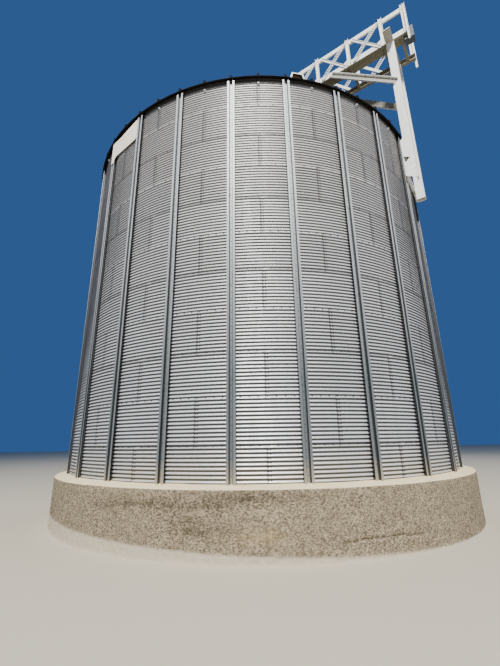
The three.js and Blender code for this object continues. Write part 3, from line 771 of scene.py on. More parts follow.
class SILO_OT_stage(bpy.types.Operator):
    """Make the floor, the lamps and the photograph's camera"""

    bl_idname = "silo.stage"
    bl_label = "Stage"

    floor_reach = 90.0
    # Each lamp's name, place, the height it faces, size and share of the key power
    lamps = (
        ("key lamp", (-1.0, -33.0, 39.0), 6.0, 5.0, 1.0),
        ("left fill", (-32.0, -12.0, 14.0), 6.0, 16.0, 0.033),
        ("right fill", (32.0, -12.0, 14.0), 6.0, 16.0, 0.05),
        ("back lamp", (6.0, 30.0, 26.0), 8.0, 14.0, 0.10),
    )

    def execute(self, context):
        settings = context.scene.silo_stage
        x = y = self.floor_reach
        mesh = bpy.data.meshes.new("floor")
        mesh.from_pydata([(-x, -y, 0), (x, -y, 0), (x, y, 0), (-x, y, 0)], [], [(0, 1, 2, 3)])
        finish = Finish("pale floor", 0.9)
        finish.base = tuple(settings.floor_colour)
        mesh.materials.append(finish.done())
        plane = bpy.data.objects.new("floor", mesh)
        context.scene.collection.objects.link(plane)
        plane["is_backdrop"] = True

        for name, place, target, size, share in self.lamps:
            light = bpy.data.lights.new(name, "AREA")
            light.size = size
            light.energy = settings.key_power * share
            lamp = bpy.data.objects.new(name, light)
            away = Vector(place) - Vector((0.0, 0.0, target))
            turn = away.to_track_quat("Z", "Y").to_matrix().to_4x4()
            lamp.matrix_world = Matrix.Translation(place) @ turn
            context.scene.collection.objects.link(lamp)

        world = bpy.data.worlds.new("studio")
        world.use_nodes = True
        background = world.node_tree.nodes["Background"]
        background.inputs["Color"].default_value = SKY
        background.inputs["Strength"].default_value = settings.fill_strength
        context.scene.world = world
        self.camera(context)
        return {"FINISHED"}

    @staticmethod
    def camera(context):
        """Turned about its own line of sight by the roll, raised by the pitch
        and turned about the upright by the yaw."""
        data = bpy.data.cameras.new("photo camera")
        data.lens = CAMERA_LENS
        data.sensor_width = 36.0
        data.clip_end = 400.0
        camera = bpy.data.objects.new("photo camera", data)
        yaw = Matrix.Rotation(-CAMERA_YAW, 4, "Z")
        pitch = Matrix.Rotation(math.pi / 2 + CAMERA_PITCH, 4, "X")
        roll = Matrix.Rotation(CAMERA_ROLL, 4, "Z")
        camera.matrix_world = Matrix.Translation(CAMERA_PLACE) @ yaw @ pitch @ roll
        context.scene.collection.objects.link(camera)
        context.scene.camera = camera


class SILO_OT_plinth(bpy.types.Operator):
    """Make the rough-cast plinth with its ledge, stains, chip and crack"""

    bl_idname = "silo.plinth"
    bl_label = "Plinth"

    columns = 1456
    face_rows = 42
    # The crack: where it starts and ends in degrees, its height, width and depth
    crack_span = (12.6, 28.5)
    crack_height = 0.30
    crack_width = 0.022
    crack_depth = 0.020
    # Damp marks: azimuth in degrees and height, size along and up, and depth. Nine
    # are seen on the face, and the fainter ones go round the rest.
    marks = (
        ((-8.3, 0.90), (0.50, 0.09), 0.75),
        ((-3.2, 1.04), (0.60, 0.09), 0.70),
        ((3.5, 1.00), (0.60, 0.07), 0.35),
        ((-16.6, 0.90), (0.38, 0.10), 0.85),
        ((-10.3, 0.49), (0.60, 0.08), 0.75),
        ((-14.8, 0.24), (0.07, 0.03), 0.90),
        ((-12.0, 0.66), (0.55, 0.09), 0.55),
        ((-23.2, 0.91), (0.60, 0.08), 0.62),
        ((-30.6, 0.84), (0.50, 0.08), 0.50),
        ((70.0, 0.95), (1.20, 0.12), 0.40),
        ((118.0, 0.80), (1.00, 0.20), 0.35),
        ((170.0, 1.00), (1.40, 0.10), 0.45),
        ((-120.0, 0.90), (1.20, 0.16), 0.40),
    )

    def execute(self, context):
        settings = context.scene.silo_plinth
        shape, values = self.surface(settings.lump_depth)
        finish = roughcast(settings)
        piece = make_piece("rough_cast_plinth", shape, finish, True, values)
        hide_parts("plinth")
        return {"FINISHED"}

    def surface(self, lump_depth):
        """A grid round the plinth: rows climb the face, round the edge and cross
        the ledge to the wall. The face is pressed in by lattice noise, most
        between its lumps, and not at all along the ground."""
        shoulder, brow = PLINTH_RADIUS - EDGE_ROUND, LEDGE_EDGE - EDGE_ROUND
        bend = np.radians([30, 60, 90])
        face = np.full(self.face_rows, PLINTH_RADIUS)
        climb = np.linspace(0, brow, self.face_rows)
        inward = np.linspace(shoulder, WALL_RADIUS - 0.03, 12)[1:]
        slope = np.interp(inward, [LIPS, shoulder], [PLINTH_TOP, LEDGE_EDGE])
        row_radius = np.concatenate([face, shoulder + EDGE_ROUND * np.cos(bend), inward])[:, None]
        row_height = np.concatenate([climb, brow + EDGE_ROUND * np.sin(bend), slope])[:, None]
        row = np.arange(len(row_radius))[:, None]
        last = len(row) - 1
        on_ledge = np.clip((row - self.face_rows) / 2.0, 0, 1)
        azimuth = np.arange(self.columns) * TURN / self.columns
        u, v = azimuth / TURN, row / last

        lumps = lattice_noise(u, v, self.columns // 2, len(row) // 2, 3)
        knobs = lattice_noise(u, v, self.columns, last, 5)
        swell = lattice_noise(u, v, 60, 4, 7)
        hollow = np.clip(0.55 * lumps + 0.30 * knobs + 0.15 * swell, 0, 1)
        grounded = np.clip(row_height / 0.03, 0, 1)
        pressed = lump_depth * hollow * grounded * (1 - 0.85 * on_ledge)

        signed = np.mod(azimuth + math.pi, TURN) - math.pi
        degrees = np.degrees(signed)
        crack_from, crack_to = self.crack_span
        jag = lattice_noise(u, 0.0, 500, 1, 9) - 0.5
        sway = 0.035 * np.sin((degrees - crack_from) * 0.20)
        crack_line = self.crack_height + sway + 0.018 * jag
        crack = np.clip(1 - np.abs(row_height - crack_line) / self.crack_width, 0, 1)
        crack = crack * ((degrees > crack_from) & (degrees < crack_to))
        pressed = pressed + self.crack_depth * crack

        # The ledge is uneven, with a chip and a worn stretch at its edge
        chip = spot(signed, row_radius, (-37.0, PLINTH_RADIUS - 0.03), (0.07, 0.16)) * 1.6
        worn = spot(signed, row_radius, (-44.0, PLINTH_RADIUS), (0.9, 0.12))
        uneven = lattice_noise(u, 0.0, 90, 1, 11) - 0.5
        lift = 0.012 * uneven - 0.055 * np.clip(chip - 0.5, 0, 1) - 0.02 * worn
        fillet = 0.012 * np.clip((WALL_RADIUS + 0.07 - row_radius) / 0.07, 0, 1)
        height = row_height + (lift + fillet) * on_ledge
        points = around(row_radius - pressed, azimuth, height)
        points[0, :, 2] = 0.0

        on_face = 1 - on_ledge
        old_ground = 0.118 - 0.035 * PLINTH_RADIUS * np.sin(azimuth)
        chipped = np.clip(chip - 0.6, 0, 1) * on_ledge
        stain = self.stains(signed, row_height) * on_face + crack + chipped
        ochre = spot(signed, row_height, (-0.3, 0.43), (0.45, 0.12))
        rust = spot(signed, row_radius, (-3.6, WALL_RADIUS + 0.03), (0.22, 0.05))
        values = {
            # hollow: painted shade where the face is pressed in deepest
            "hollow": np.clip(hollow * 1.5 - 0.62, 0, 1) * on_face * 0.75,
            "stain": np.clip(stain, 0, 1),
            "ochre": ochre * 0.36 * on_face,
            "dust": np.clip(1 - (row_height - old_ground) / 0.05, 0, 1) * on_face * 0.85,
            "screed": on_ledge * (1 - 0.9 * chipped),
            "rust": rust * on_ledge * 0.6,
        }
        values = {name: np.append(grid, [0, 0]) for name, grid in values.items()}
        return turned_solid(points, [(0, 0, 0), (0, 0, PLINTH_TOP + 0.012)]), values

    def stains(self, azimuth, height):
        """The damp marks, broken up by drips and blots of lattice noise."""
        total = sum(depth * spot(azimuth, height, at, size) for at, size, depth in self.marks)
        drips = lattice_noise(azimuth / TURN, 0.0, 330, 1, 13)
        blots = lattice_noise(azimuth / TURN, height / PLINTH_TOP, 620, 16, 15)
        return total * (0.25 + 0.5 * drips + 0.9 * blots)


def seam_height(seam):
    """Height of a ring seam, counted from 0 at the lowest."""
    return FIRST_SEAM + seam * RING_HEIGHT


def lap_azimuth(ring):
    """Azimuth of a ring's first upright lap: at mid-bay, staggered by a bay
    from one ring to the next."""
    stagger = 0.5 if ring % 2 == 0 else 1.5
    return FIRST_STIFFENER + stagger * BAY - LAP_EDGE / WALL_RADIUS


class SILO_OT_wall(bpy.types.Operator):
    """Make the rings of corrugated sheet"""

    bl_idname = "silo.wall"
    bl_label = "Corrugated wall"

    sheet_steps = 10
    lap_steps = (0.0, 0.006, 0.009)

    def execute(self, context):
        settings = context.scene.silo_wall
        material = galvanised_sheet(settings)
        for ring in range(SEAMS + 1):
            shape, values = self.ring(ring, settings.steps_per_wave)
            name = f"wall_ring_{ring + 1:02d}"
            make_piece(name, shape, material, True, values)
        nodes = [f"wall_segment_{sheet + 1:02d}" for sheet in range(SHEETS)]
        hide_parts(*nodes)
        return {"FINISHED"}

    def ring(self, ring, steps):
        """One ring as a closed skin: the radius is the wall's less a cosine of
        the height over the pitch, so each seam lies in a trough. The ring's
        foot stands 2 mm out over the ring below, and each sheet's first edge
        stands out over the sheet before it. The value under sets painted shade: 1 on
        the slopes that face down and 0 on those that face up; round the seam it is
        lower in every other ring, most of all high up, as a painted highlight, and
        higher in the rest, as deeper painted shade. The value edge sets painted
        shadow lines: 1 along the ring's foot and 0.65 along each sheet's first edge."""
        low = seam_height(ring - 1) - PITCH / 2 if ring > 0 else PLINTH_TOP - 0.01
        high = seam_height(ring) + 0.3 * PITCH if ring < SEAMS else WALL_TOP
        rows = round((high - low) / PITCH * steps) + 1
        height = np.linspace(low, high, rows)
        wave = WALL_RADIUS - CREST * np.cos(TURN * (height - FIRST_SEAM) / PITCH)
        foot = 0.002 * np.clip(1 - (height - low) / (1.5 * PITCH), 0, 1) * (ring > 0)
        inner = WALL_RADIUS - CREST - 0.004
        radius = np.append(wave + foot, [inner, inner])[:, None]
        height = np.append(height, [high, low])[:, None]
        outside = np.append(np.ones(rows), [0, 0])[:, None]

        along = np.append(self.lap_steps, np.arange(1, self.sheet_steps + 1) / self.sheet_steps)
        sheet = np.arange(SHEETS)[:, None]
        azimuth = (lap_azimuth(ring) + (sheet + along) * 2 * BAY).ravel()
        overlap = np.tile(SHEET_LAP * np.clip(1 - along / 0.15, 0, 1), SHEETS)
        points = around(radius + overlap * outside, azimuth, height)
        tones = np.random.default_rng(100 + ring).random(SHEETS)
        tone = np.broadcast_to(np.repeat(tones, len(along)), points.shape[:2])
        # Painted shade on the slopes that face down; round the seam a painted highlight or deeper
        # painted shade
        under = 0.5 + 0.5 * np.sin(TURN * (height - FIRST_SEAM) / PITCH)
        at_seam = np.exp(-(((height - seam_height(ring - 1)) / (0.34 * PITCH)) ** 2))
        change = np.interp(ring, [3, 8], [-0.20, -0.62]) if ring % 2 == 0 else 0.35
        under = np.broadcast_to(np.clip(under + change * at_seam, 0, 1), points.shape[:2])
        # Painted shadow lines: along the ring's foot, and fainter along each sheet's first edge
        foot_shadow = np.clip(1 - (height - low) * steps / PITCH, 0, 1) * (ring > 0)
        lap_shadow = np.tile(np.where(along < self.lap_steps[-1], 0.65, 0.0), SHEETS)
        values = {"tone": tone, "under": under, "edge": np.maximum(foot_shadow, lap_shadow)}
        return hoop(points), values


class SILO_OT_wall_bolts(bpy.types.Operator):
    """Make the bolts of the ring seams and of the upright laps"""

    bl_idname = "silo.wall_bolts"
    bl_label = "Wall bolts"

    def execute(self, context):
        head = small_bolt(context.scene.silo_wall.bolt_size, 0.009)
        material = zinc_bolt()
        for name, bolts in (("seam_bolts", self.seams()), ("lap_bolts", self.laps())):
            heads = on_wall(head, WALL_RADIUS - CREST + 0.0015, *bolts)
            make_piece(name, heads, material)
        return {"FINISHED"}

    @staticmethod
    def seams():
        """Bolts along each ring seam, four to a bay high up and eight below,
        without the one that each stiffener hides."""
        bolts = []
        for seam in range(SEAMS):
            per_bay = 4 if seam >= COARSE_SEAMS_FROM else 8
            step = np.arange(BAYS * per_bay)
            azimuth = FIRST_STIFFENER + step[step % per_bay != 0] * BAY / per_bay
            bolts.append((azimuth, np.full(len(azimuth), seam_height(seam))))
        return np.hstack(bolts)

    @staticmethod
    def laps():
        """A pair of bolts in each trough of each upright lap."""
        bolts = []
        for ring in range(SEAMS + 1):
            trough = seam_height(ring - 1) + PITCH * np.arange(1, 12)
            trough = trough[(trough > PLINTH_TOP + 0.03) & (trough < WALL_TOP - 0.05)]
            lap = lap_azimuth(ring) + np.arange(SHEETS)[:, None] * 2 * BAY
            azimuth = (lap + np.array(LAP_BOLTS) / WALL_RADIUS).ravel()
            bolts.append((np.tile(azimuth, len(trough)), np.repeat(trough, len(azimuth))))
        return np.hstack(bolts)


class SILO_OT_stiffeners(bpy.types.Operator):
    """Finish the stiffeners and make their bolts and splices"""

    bl_idname = "silo.stiffeners"
    bl_label = "Stiffeners"

    def execute(self, context):
        steel = galvanised_section(context.scene.silo_wall, 0.95)
        for bay in range(BAYS):
            dress_node(f"stiffener_{bay + 1:02d}", steel)
        dark, pale = zinc_bolt(), zinc_bolt(2.2)
        web = WEB_FACE + STIFFENER_SHEET
        azimuth = FIRST_STIFFENER + np.arange(BAYS) * BAY
        height = np.arange(seam_height(-1) + 3 * PITCH, STIFFENER_TOP - 0.05, 2 * PITCH)
        heads = on_wall(small_bolt(0.009, 0.008), web, azimuth[:, None], height)
        make_piece("stiffener_bolts", heads, pale)

        middle = np.add(SPLICES, SPLICE_SHIFTS)[:, None] + 0.09 * np.cos(np.arange(BAYS) * 2.1)
        splices = on_wall(self.splice(), web + 0.0002, azimuth, middle)
        make_piece("stiffener_splices", splices, steel)
        joints = on_wall(self.joint(), WEB_FACE, azimuth, middle)
        make_piece("splice_joints", joints, dark)
        return {"FINISHED"}

    @staticmethod
    def splice():
        """A liner inside the stiffener: a flat U that follows the web and both
        flanges, with eight bolts."""
        sheet = 0.004
        u_section = channel_section(2 * (STIFFENER_WEB - STIFFENER_SHEET - 0.0002), 0.040, sheet)
        liner = extruded(u_section, (0, -0.13, 0), (0, 0.13, 0), (0, 0, 1))
        spread = [(x, y, sheet) for x in (-0.024, 0.024) for y in (-0.10, -0.045, 0.045, 0.10)]
        return joined([liner, repeated(small_bolt(0.009, 0.009), spread, np.eye(3))])

    @staticmethod
    def joint():
        """The dark line of a butt joint: a thin sleeve just proud of both
        flanges and their lips."""
        deep, proud, thin = STIFFENER_DEPTH, 0.0012, 0.0025
        pieces = []
        for side in (-1, 1):
            near, far = sorted((side * STIFFENER_WEB, side * (STIFFENER_WEB + proud)))
            pieces.append(box((near, -thin, 0.0), (far, thin, deep - STIFFENER_SHEET)))
            near, far = sorted((side * (STIFFENER_WEB - STIFFENER_SHEET), side * STIFFENER_HALF))
            pieces.append(box((near, -thin, deep), (far, thin, deep + proud)))
        return joined(pieces)


def roof_height(radius):
    """Top of the roof sheet at a radius."""
    rise = (WALL_RADIUS + CREST - radius) * math.tan(ROOF_SLOPE)
    return WALL_TOP + SEATING_GAP + rise + ROOF_SHEET


class SILO_OT_roof(bpy.types.Operator):
    """Finish the roof and make its laps, screws, collar bands and clips"""

    bl_idname = "silo.roof"
    bl_label = "Roof"

    def execute(self, context):
        steel = roof_steel(context.scene.silo_roof)
        for quarter in range(4):
            dress_node(f"roof_quarter_{quarter + 1}", steel)
        dress_node("peak_collar", steel)
        make_piece("roof_laps", self.laps(), steel)
        make_piece("roof_screws", self.screws(), zinc_bolt())
        make_piece("collar_bands", self.collar(), steel, True)
        clip_steel = galvanised_section(context.scene.silo_wall)
        make_piece("eave_clips", self.clips(), clip_steel)
        return {"FINISHED"}

    @staticmethod
    def laps():
        """Raised steps where the upper roof sheets overlap the lower ones: rings
        of four corners, climbing with the roof."""
        azimuth = FIRST_STIFFENER + np.arange(BAYS * 4) * BAY / 4
        rise = np.array([[-0.002], [-0.002], [0.004], [0.003]])
        shapes = []
        for middle in (2.4, 4.2):
            radius = middle + np.array([[-0.05], [0.05], [0.05], [-0.05]])
            shapes.append(hoop(around(radius, azimuth, roof_height(radius) + rise)))
        return joined(shapes)

    @staticmethod
    def screws():
        """Screws up both sides of each rib, upright on the roof's slope."""
        rib = FIRST_STIFFENER + np.arange(2 * BAYS) * BAY / 2
        radius = np.linspace(1.0, EAVE_RADIUS - 0.08, 14)[:, None]
        azimuth = rib + np.reshape((-0.034, 0.034), (2, 1, 1)) / radius
        right, rise, out = np.moveaxis(wall_axes(azimuth), -2, 0)
        sine, cosine = math.sin(ROOF_SLOPE), math.cos(ROOF_SLOPE)
        axes = np.stack([right, rise * sine - out * cosine, rise * cosine + out * sine], axis=-2)
        places = around(radius, azimuth, roof_height(radius))
        return repeated(small_bolt(0.010, 0.008), places, axes.reshape(-1, 3, 3))

    @staticmethod
    def collar():
        """Rolled bands round the collar's foot and top: rings whose section is
        a circle of eight points."""
        azimuth = np.arange(BAYS * 2) * BAY / 2
        angle = np.arange(8)[:, None] * TURN / 8
        shapes = []
        for stand, height, thick in ((0.008, COLLAR_TOP - 0.02, 0.014), (0.010, 14.08, 0.012)):
            radius = COLLAR_RADIUS + stand + thick * np.cos(angle)
            shapes.append(hoop(around(radius, azimuth, height + thick * np.sin(angle))))
        return joined(shapes)

    @staticmethod
    def clips():
        """Small brackets at mid-bay where the wall meets the eave."""
        azimuth = FIRST_STIFFENER + (np.arange(BAYS) + 0.5) * BAY
        plate = box((-0.030, -0.050, 0.0), (0.030, 0.0, 0.008))
        ledge = box((-0.030, -0.010, 0.0), (0.030, 0.0, 0.045))
        bolt = repeated(small_bolt(0.010, 0.008), (0, -0.030, 0.008), np.eye(3))
        return on_wall(joined([plate, ledge, bolt]), WALL_RADIUS + CREST, azimuth, CLIP_HEIGHT)


class SILO_OT_banner(bpy.types.Operator):
    """Make the cloth banner, its eyelets and its ties"""

    bl_idname = "silo.banner"
    bl_label = "Banner"

    columns = 120
    rows = 64
    # Its ends in bays, the rough width and height its folds take, and its stand-off
    ends = (-0.042, 0.942)
    rough_size = (1.42, 0.75)
    stand_off = 0.0165
    # Heights of the lower and upper edge, between points across the bay
    foot_line = (
        (-0.05, 0.03, 0.06, 0.09, 0.12, 0.17, 0.24, 0.46, 0.90, 0.95),
        (10.086, 10.088, 10.105, 10.180, 10.222, 10.240, 10.238, 10.196, 10.152, 10.160),
    )
    head_line = (
        (-0.05, 0.02, 0.25, 0.58, 0.89, 0.95),
        (10.832, 10.842, 10.816, 10.834, 10.842, 10.800),
    )

    def execute(self, context):
        settings = context.scene.silo_banner
        self.start, self.end = around(LIPS + 0.0006, FIRST_STIFFENER - np.array([3, 2]) * BAY, 0.0)
        self.along = (self.end - self.start) / np.linalg.norm(self.end - self.start)
        self.out = np.array([self.along[1], -self.along[0], 0.0])
        self.billow = settings.billow

        u = np.linspace(*self.ends, self.columns + 1)[None, :]
        v = np.linspace(0, 1, self.rows + 1)[:, None]
        points = self.cloth(u, v)
        weave = {"weave": 0.5 + 0.25 * (np.sin(u * TURN * 60) + np.sin(v * TURN * 32))}
        finish = banner_cloth(settings)
        cloth = make_piece("banner_cloth", surface(points), finish, True, weave)
        thick = cloth.modifiers.new("thickness", "SOLIDIFY")
        thick.thickness = 0.0016
        thick.offset = 0.0
        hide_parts("banner")
        make_piece("banner_eyelets", self.eyelets(), zinc_bolt(), True)
        ties = self.ties()
        plain = {"weave": np.full(len(ties.points), 0.5)}
        make_piece("banner_ties", ties, banner_cloth(settings), False, plain)
        return {"FINISHED"}

    def cloth(self, u, v):
        """u runs from the left stiffener to the right one, v from the lower edge
        up. The lower edge curls down to the left tie, the upper edge sags
        between its ties, and folds fan out from the upper corners."""
        u, v = np.broadcast_arrays(u, v)
        foot = np.interp(u, *self.foot_line)
        height = foot + (np.interp(u, *self.head_line) - foot) * v
        wide, high = self.rough_size
        below = (1 - v) * high
        folds = 0.35 * np.sin(TURN * (2.3 * u + 0.2 * v)) * (1 - 0.5 * v)
        for beside, count in ((u * wide, 9), ((1 - u) * wide, 8)):
            away = np.hypot(beside, below) + 0.12
            folds = folds + np.sin(count * np.arctan2(below, beside + 0.05)) / (1 + 5 * away)
        edge = np.sin(math.pi * np.clip(u, 0, 1)) ** 0.6
        stand = self.stand_off + 0.5 * self.billow * edge * folds
        level = self.start + u[..., None] * (self.end - self.start)
        return level + stand[..., None] * self.out + height[..., None] * UP

    def eyelets(self):
        """Small rings in the four corners and along the upper hem, their section
        a circle of six points."""
        turn = np.arange(16) * TURN / 16
        section = np.arange(6)[:, None] * TURN / 6
        reach = 0.013 + 0.004 * np.cos(section)
        stand = np.broadcast_to(0.004 * np.sin(section), (6, 16))
        ring = hoop(np.stack([reach * np.cos(turn), reach * np.sin(turn), stand], axis=-1))
        spots = ((0.01, 0.95), (0.92, 0.94), (0.92, 0.06), (-0.01, 0.04), (0.5, 0.95))
        places = [self.cloth(u, v) for u, v in spots]
        return repeated(ring, places, np.stack([self.along, UP, self.out]))

    def ties(self):
        """Flat straps from the right corners round the stiffener's face: strips
        that start at the cloth and end on the steel."""
        strap = [(-0.008, -0.0012), (0.008, -0.0012), (0.008, 0.0012), (-0.008, 0.0012)]
        shapes = []
        for v, height, back in ((0.94, 10.71, 0.055), (0.06, 10.14, 0.070)):
            corner = self.cloth(0.92, v) + self.out * 0.003
            anchor = self.end + UP * height - self.along * back + self.out * 0.012
            shapes.append(extruded(strap, corner, anchor, self.out))
        return joined(shapes)


def slotted_bar(start, end, up, width, sheet, pitch, slot):
    """A flat bar with a row of oblong slots: one framed cell, repeated, and a
    face over each end."""
    axes = bar_axes(start, end, up)
    length = np.linalg.norm(end - start)
    count = int(length / pitch)
    cell = length / count
    corners = np.array([(-1, -1), (1, -1), (1, 1), (-1, 1)])
    flat = np.vstack([corners * (cell / 2, width / 2), corners * np.array(slot) / 2])
    points = np.vstack([np.column_stack([flat, np.full(8, z)]) for z in (0.0, sheet)])
    faces = [(0, 1, 9, 8), (2, 3, 11, 10)]
    for i, j in ((0, 1), (1, 2), (2, 3), (3, 0)):
        top = (i + 8, j + 8, j + 12, i + 12)
        faces += [top, (j, i, i + 4, j + 4), (i + 4, i + 12, j + 12, j + 4)]
    frame_cell = Shape(points, np.ravel(faces), np.full(len(faces), 4))
    places = start + axes[0] * (np.arange(count)[:, None] + 0.5) * cell
    shapes = [repeated(frame_cell, places, axes)]
    for corner, place in (([3, 0, 8, 11], places[0]), ([1, 2, 10, 9], places[-1])):
        shapes.append(repeated(Shape(points[corner], np.arange(4), np.array([4])), place, axes))
    return joined(shapes)


def bridge_heads(size, places, out):
    """Bolt heads that face to one side of the bridge, -1 the near one."""
    return repeated(hex_bolt(size), places, [[-out, 0, 0], [0, 0, 1], [0, out, 0]])


class SILO_OT_trusses(bpy.types.Operator):
    """Make both side trusses of the bridge from rolled sections"""

    bl_idname = "silo.trusses"
    bl_label = "Bridge trusses"

    # Width, leg and sheet of each channel
    chord = (TOP_CHORD[1] - TOP_CHORD[0], 0.060, 0.010)
    post = (0.120, 0.050, 0.008)
    end_post = (0.066, 0.050, 0.008)
    brace = (0.090, 0.034, 0.006)
    # Width, sheet, pitch and slot of the slotted angle, and the outline of its other leg
    slotted = (0.130, 0.006, 0.068, (0.050, 0.088))
    leg = ((0.059, -0.0335), (0.065, -0.0335), (0.065, 0), (0.059, 0))

    def execute(self, context):
        settings = context.scene.silo_bridge
        colour = tuple(settings.paint_colour)
        paint = painted_steel("truss paint", colour)
        bolts = painted_steel("painted bolts", shade(colour, 0.7))
        for name, node, face, out in (
            ("near_truss_steel", "near_side_truss", NEAR_FACE, -1),
            ("far_truss_steel", "far_side_truss", FAR_FACE, 1),
        ):
            steel = in_bridge_frame(self.truss(face, out))
            truss = make_piece(name, steel, paint, merge=True)
            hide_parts(node)
            heads = in_bridge_frame(self.bolts(face, out, settings.bolt_size))
            make_piece(name.replace("steel", "bolts"), heads, bolts)
        return {"FINISHED"}

    def truss(self, face, out):
        """The top chord, posts over both chords, and in each bay a channel that
        falls outwards behind a slotted angle that rises outwards, with a gusset
        and packers. Depths are taken outwards (out is -1 or 1) from the chords'
        faces."""
        away = (0, out, 0)
        seat, lattice = face + SEATING_GAP * out, face + self.brace[1] * out
        ends = [(x, face, sum(TOP_CHORD) / 2) for x in (BRIDGE_INNER, BRIDGE_OUTER)]
        shapes = [extruded(channel_section(*self.chord), *ends, (0, -out, 0))]
        posts = [(self.post, x, *POST_ENDS) for x in POSTS]
        posts += [(self.end_post, x, foot, END_POST_TOP) for x, foot in END_POSTS]
        for sizes, x, foot, top in posts:
            ends = (x, seat, foot), (x, seat, top)
            shapes.append(extruded(channel_section(*sizes), *ends, away))

        near, far = sorted((seat, face + 0.007 * out))
        low, high = sorted((seat, lattice + 0.0005 * out))
        for bay in zip(POSTS[:-1], POSTS[1:]):
            ends = [(post + x, seat, z) for post, (x, z) in zip(bay, CHANNEL_ENDS)]
            shapes.append(extruded(channel_section(*self.brace), *ends, away))
            ends = [np.array((post + x, lattice, z)) for post, (x, z) in zip(bay, LATTICE_ENDS)]
            shapes.append(slotted_bar(*ends, away, *self.slotted))
            shapes.append(extruded(self.leg, *ends, away))
            corner, foot = bay[1] - 0.052, CHANNEL_ENDS[1][1]
            back = corner - 0.170
            gusset = [(back, foot), (corner, foot), (corner, BED_TOP + 0.110), (back, BED_TOP)]
            shapes.append(extruded(gusset, (0, near, 0), (0, far, 0), (0, 0, 1)))
            for x, _, z in ends:
                shapes.append(box((x - 0.045, low, z - 0.022), (x + 0.045, high, z + 0.022)))
        return joined(shapes)

    @staticmethod
    def bolts(face, out, size):
        """Bolt heads at each post's top and foot, along the end posts and on the
        ends of the channels and slotted angles."""
        foot_and_top = (14.83, 14.93, 15.82, 15.91)
        # How far out of the chords' faces the heads sit
        web, angle, gusset = 0.008, 0.040, 0.006
        spots = [(x + dx, web, z) for x in POSTS for z in foot_and_top for dx in (-0.028, 0.028)]
        spots += [(x, web, z) for x, _ in END_POSTS for z in (*foot_and_top, 15.40)]
        for left, right in zip(POSTS[:-1], POSTS[1:]):
            spots += [(left + 0.20, angle, 14.85), (left + 0.24, angle, 14.90)]
            spots += [(right - 0.12, angle, 15.85), (right - 0.16, angle, 15.80)]
            spots += [(left + 0.22, gusset, 15.81), (right - 0.18, gusset, 14.845)]
            spots += [(right - 0.10, gusset, 14.93)]
        return bridge_heads(size, [(x, face + stand * out, z) for x, stand, z in spots], out)


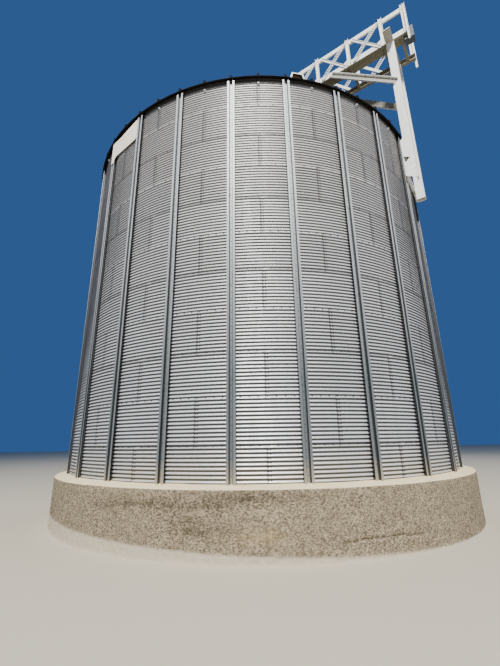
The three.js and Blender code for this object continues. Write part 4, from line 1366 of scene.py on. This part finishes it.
class SILO_OT_bridge(bpy.types.Operator):
    """Finish the bed, columns, braces and conveyor, and add their details"""

    bl_idname = "silo.bridge"
    bl_label = "Bridge and conveyor"

    painted = ("near_column", "far_column", "lower_wall_rail", "roof_vent", "peak_stool")

    def execute(self, context):
        settings = context.scene.silo_bridge
        colour = tuple(settings.paint_colour)
        paint = painted_steel("bridge paint", colour)
        grey = painted_steel("machine paint", tuple(settings.machine_colour))
        for name in self.painted:
            dress_node(name, paint)
        for name in ("conveyor_boot", "discharge_spout"):
            dress_node(name, grey)
        # Where painted shade falls: inside the chords, on the knee braces' webs, and under the bed
        # and the cap plate
        inside = (NEAR_FACE + 0.004, FAR_FACE - 0.004)
        webs = (NEAR_FACE - 0.012, FAR_FACE + 0.012)
        bed_shade_below, cap_shade_below = BED_BOTTOM + 0.010, BED_BOTTOM - 0.018
        for name, finish in (
            ("bridge_bed", painted_steel("bed paint", colour, bed_shade_below, inside)),
            ("column_cap_plate", painted_steel("cap paint", colour, cap_shade_below, depth=0.65)),
            ("near_knee_brace", painted_steel("knee paint", colour, inside=webs, depth=0.75)),
            ("far_knee_brace", painted_steel("knee paint", colour, inside=webs)),
            # The trough's colour is darkened as painted shade of its underside
            ("conveyor_trough", painted_steel("trough paint", TROUGH_PAINT_AND_SHADE)),
        ):
            dress_node(name, finish)
        make_piece("vent_screen", self.screen(), vent_screen())
        bolts = painted_steel("bridge bolts", shade(colour, 0.55))
        heads = in_bridge_frame(self.bolts(settings.bolt_size))
        make_piece("bridge_bolts", heads, bolts)
        return {"FINISHED"}

    @staticmethod
    def screen():
        """A dark screen just inside the vent's mouth, following its sides: a sheet of painted
        shade that stands for the vent's shaded inside.
        """
        inset = VENT_FRONT - 0.030
        foot, top = roof_height(inset) + 0.004, VENT_TOP - 0.014
        low_half = VENT_TOP_HALF + VENT_FLARE * (VENT_TOP - foot) - 0.014
        high_half = VENT_TOP_HALF - 0.012
        section = [(-low_half, foot), (low_half, foot), (high_half, top), (-high_half, top)]
        right, rise, out = wall_axes(VENT_AZIMUTH)
        return extruded(section, out * inset, out * (inset - 0.006), rise)

    @staticmethod
    def bolts(size):
        """Heads on the bed's webs between the posts, on the knee braces' ends
        and on the near column's bracket."""
        shapes = []
        for face, out in ((NEAR_FACE, -1), (FAR_FACE, 1)):
            places = [(x + dx, face, BED_BOTTOM + 0.055) for x in POSTS for dx in (-0.12, 0.12)]
            for x, z in ((6.02, 13.06), (5.94, 13.09), (4.09, 14.69), (4.01, 14.76)):
                places.append((x, face + 0.009 * out, z))
            shapes.append(bridge_heads(size, places, out))
        bracket = [(x, NEAR_FACE, z) for x in (5.91, 6.05, 6.15) for z in (9.55, 9.75)]
        return joined([*shapes, bridge_heads(size, bracket, -1)])


class SILO_PT_panel(bpy.types.Panel):
    """Lists the builders in the sidebar"""

    bl_idname = "SILO_PT_panel"
    bl_label = "Grain silo"
    bl_space_type = "VIEW_3D"
    bl_region_type = "UI"
    bl_category = "Silo"

    def draw(self, context):
        for operator in OPERATORS:
            self.layout.operator(operator.bl_idname)


SETTINGS = {
    "silo_wall": SiloWallSettings,
    "silo_plinth": SiloPlinthSettings,
    "silo_roof": SiloRoofSettings,
    "silo_banner": SiloBannerSettings,
    "silo_bridge": SiloBridgeSettings,
    "silo_stage": SiloStageSettings,
}

OPERATORS = (
    SILO_OT_stage,
    SILO_OT_plinth,
    SILO_OT_wall,
    SILO_OT_wall_bolts,
    SILO_OT_stiffeners,
    SILO_OT_roof,
    SILO_OT_banner,
    SILO_OT_trusses,
    SILO_OT_bridge,
)


def register():
    for name, group in SETTINGS.items():
        bpy.utils.register_class(group)
        setattr(bpy.types.Scene, name, PointerProperty(type=group))
    for operator in OPERATORS:
        bpy.utils.register_class(operator)
    bpy.utils.register_class(SILO_PT_panel)


def unregister():
    bpy.utils.unregister_class(SILO_PT_panel)
    for operator in reversed(OPERATORS):
        bpy.utils.unregister_class(operator)
    for name, group in reversed(SETTINGS.items()):
        delattr(bpy.types.Scene, name)
        bpy.utils.unregister_class(group)


def main():
    register()
    bpy.ops.silo.stage()
    bpy.ops.silo.plinth()
    bpy.ops.silo.wall()
    bpy.ops.silo.wall_bolts()
    bpy.ops.silo.stiffeners()
    bpy.ops.silo.roof()
    bpy.ops.silo.banner()
    bpy.ops.silo.trusses()
    bpy.ops.silo.bridge()
    boxes = {"cad": CAD_BOUNDS, "visual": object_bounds()}
    for name, corners in boxes.items():
        boxes[name] = [list(map(float, corner)) for corner in corners]


if __name__ == "__main__":
    main()
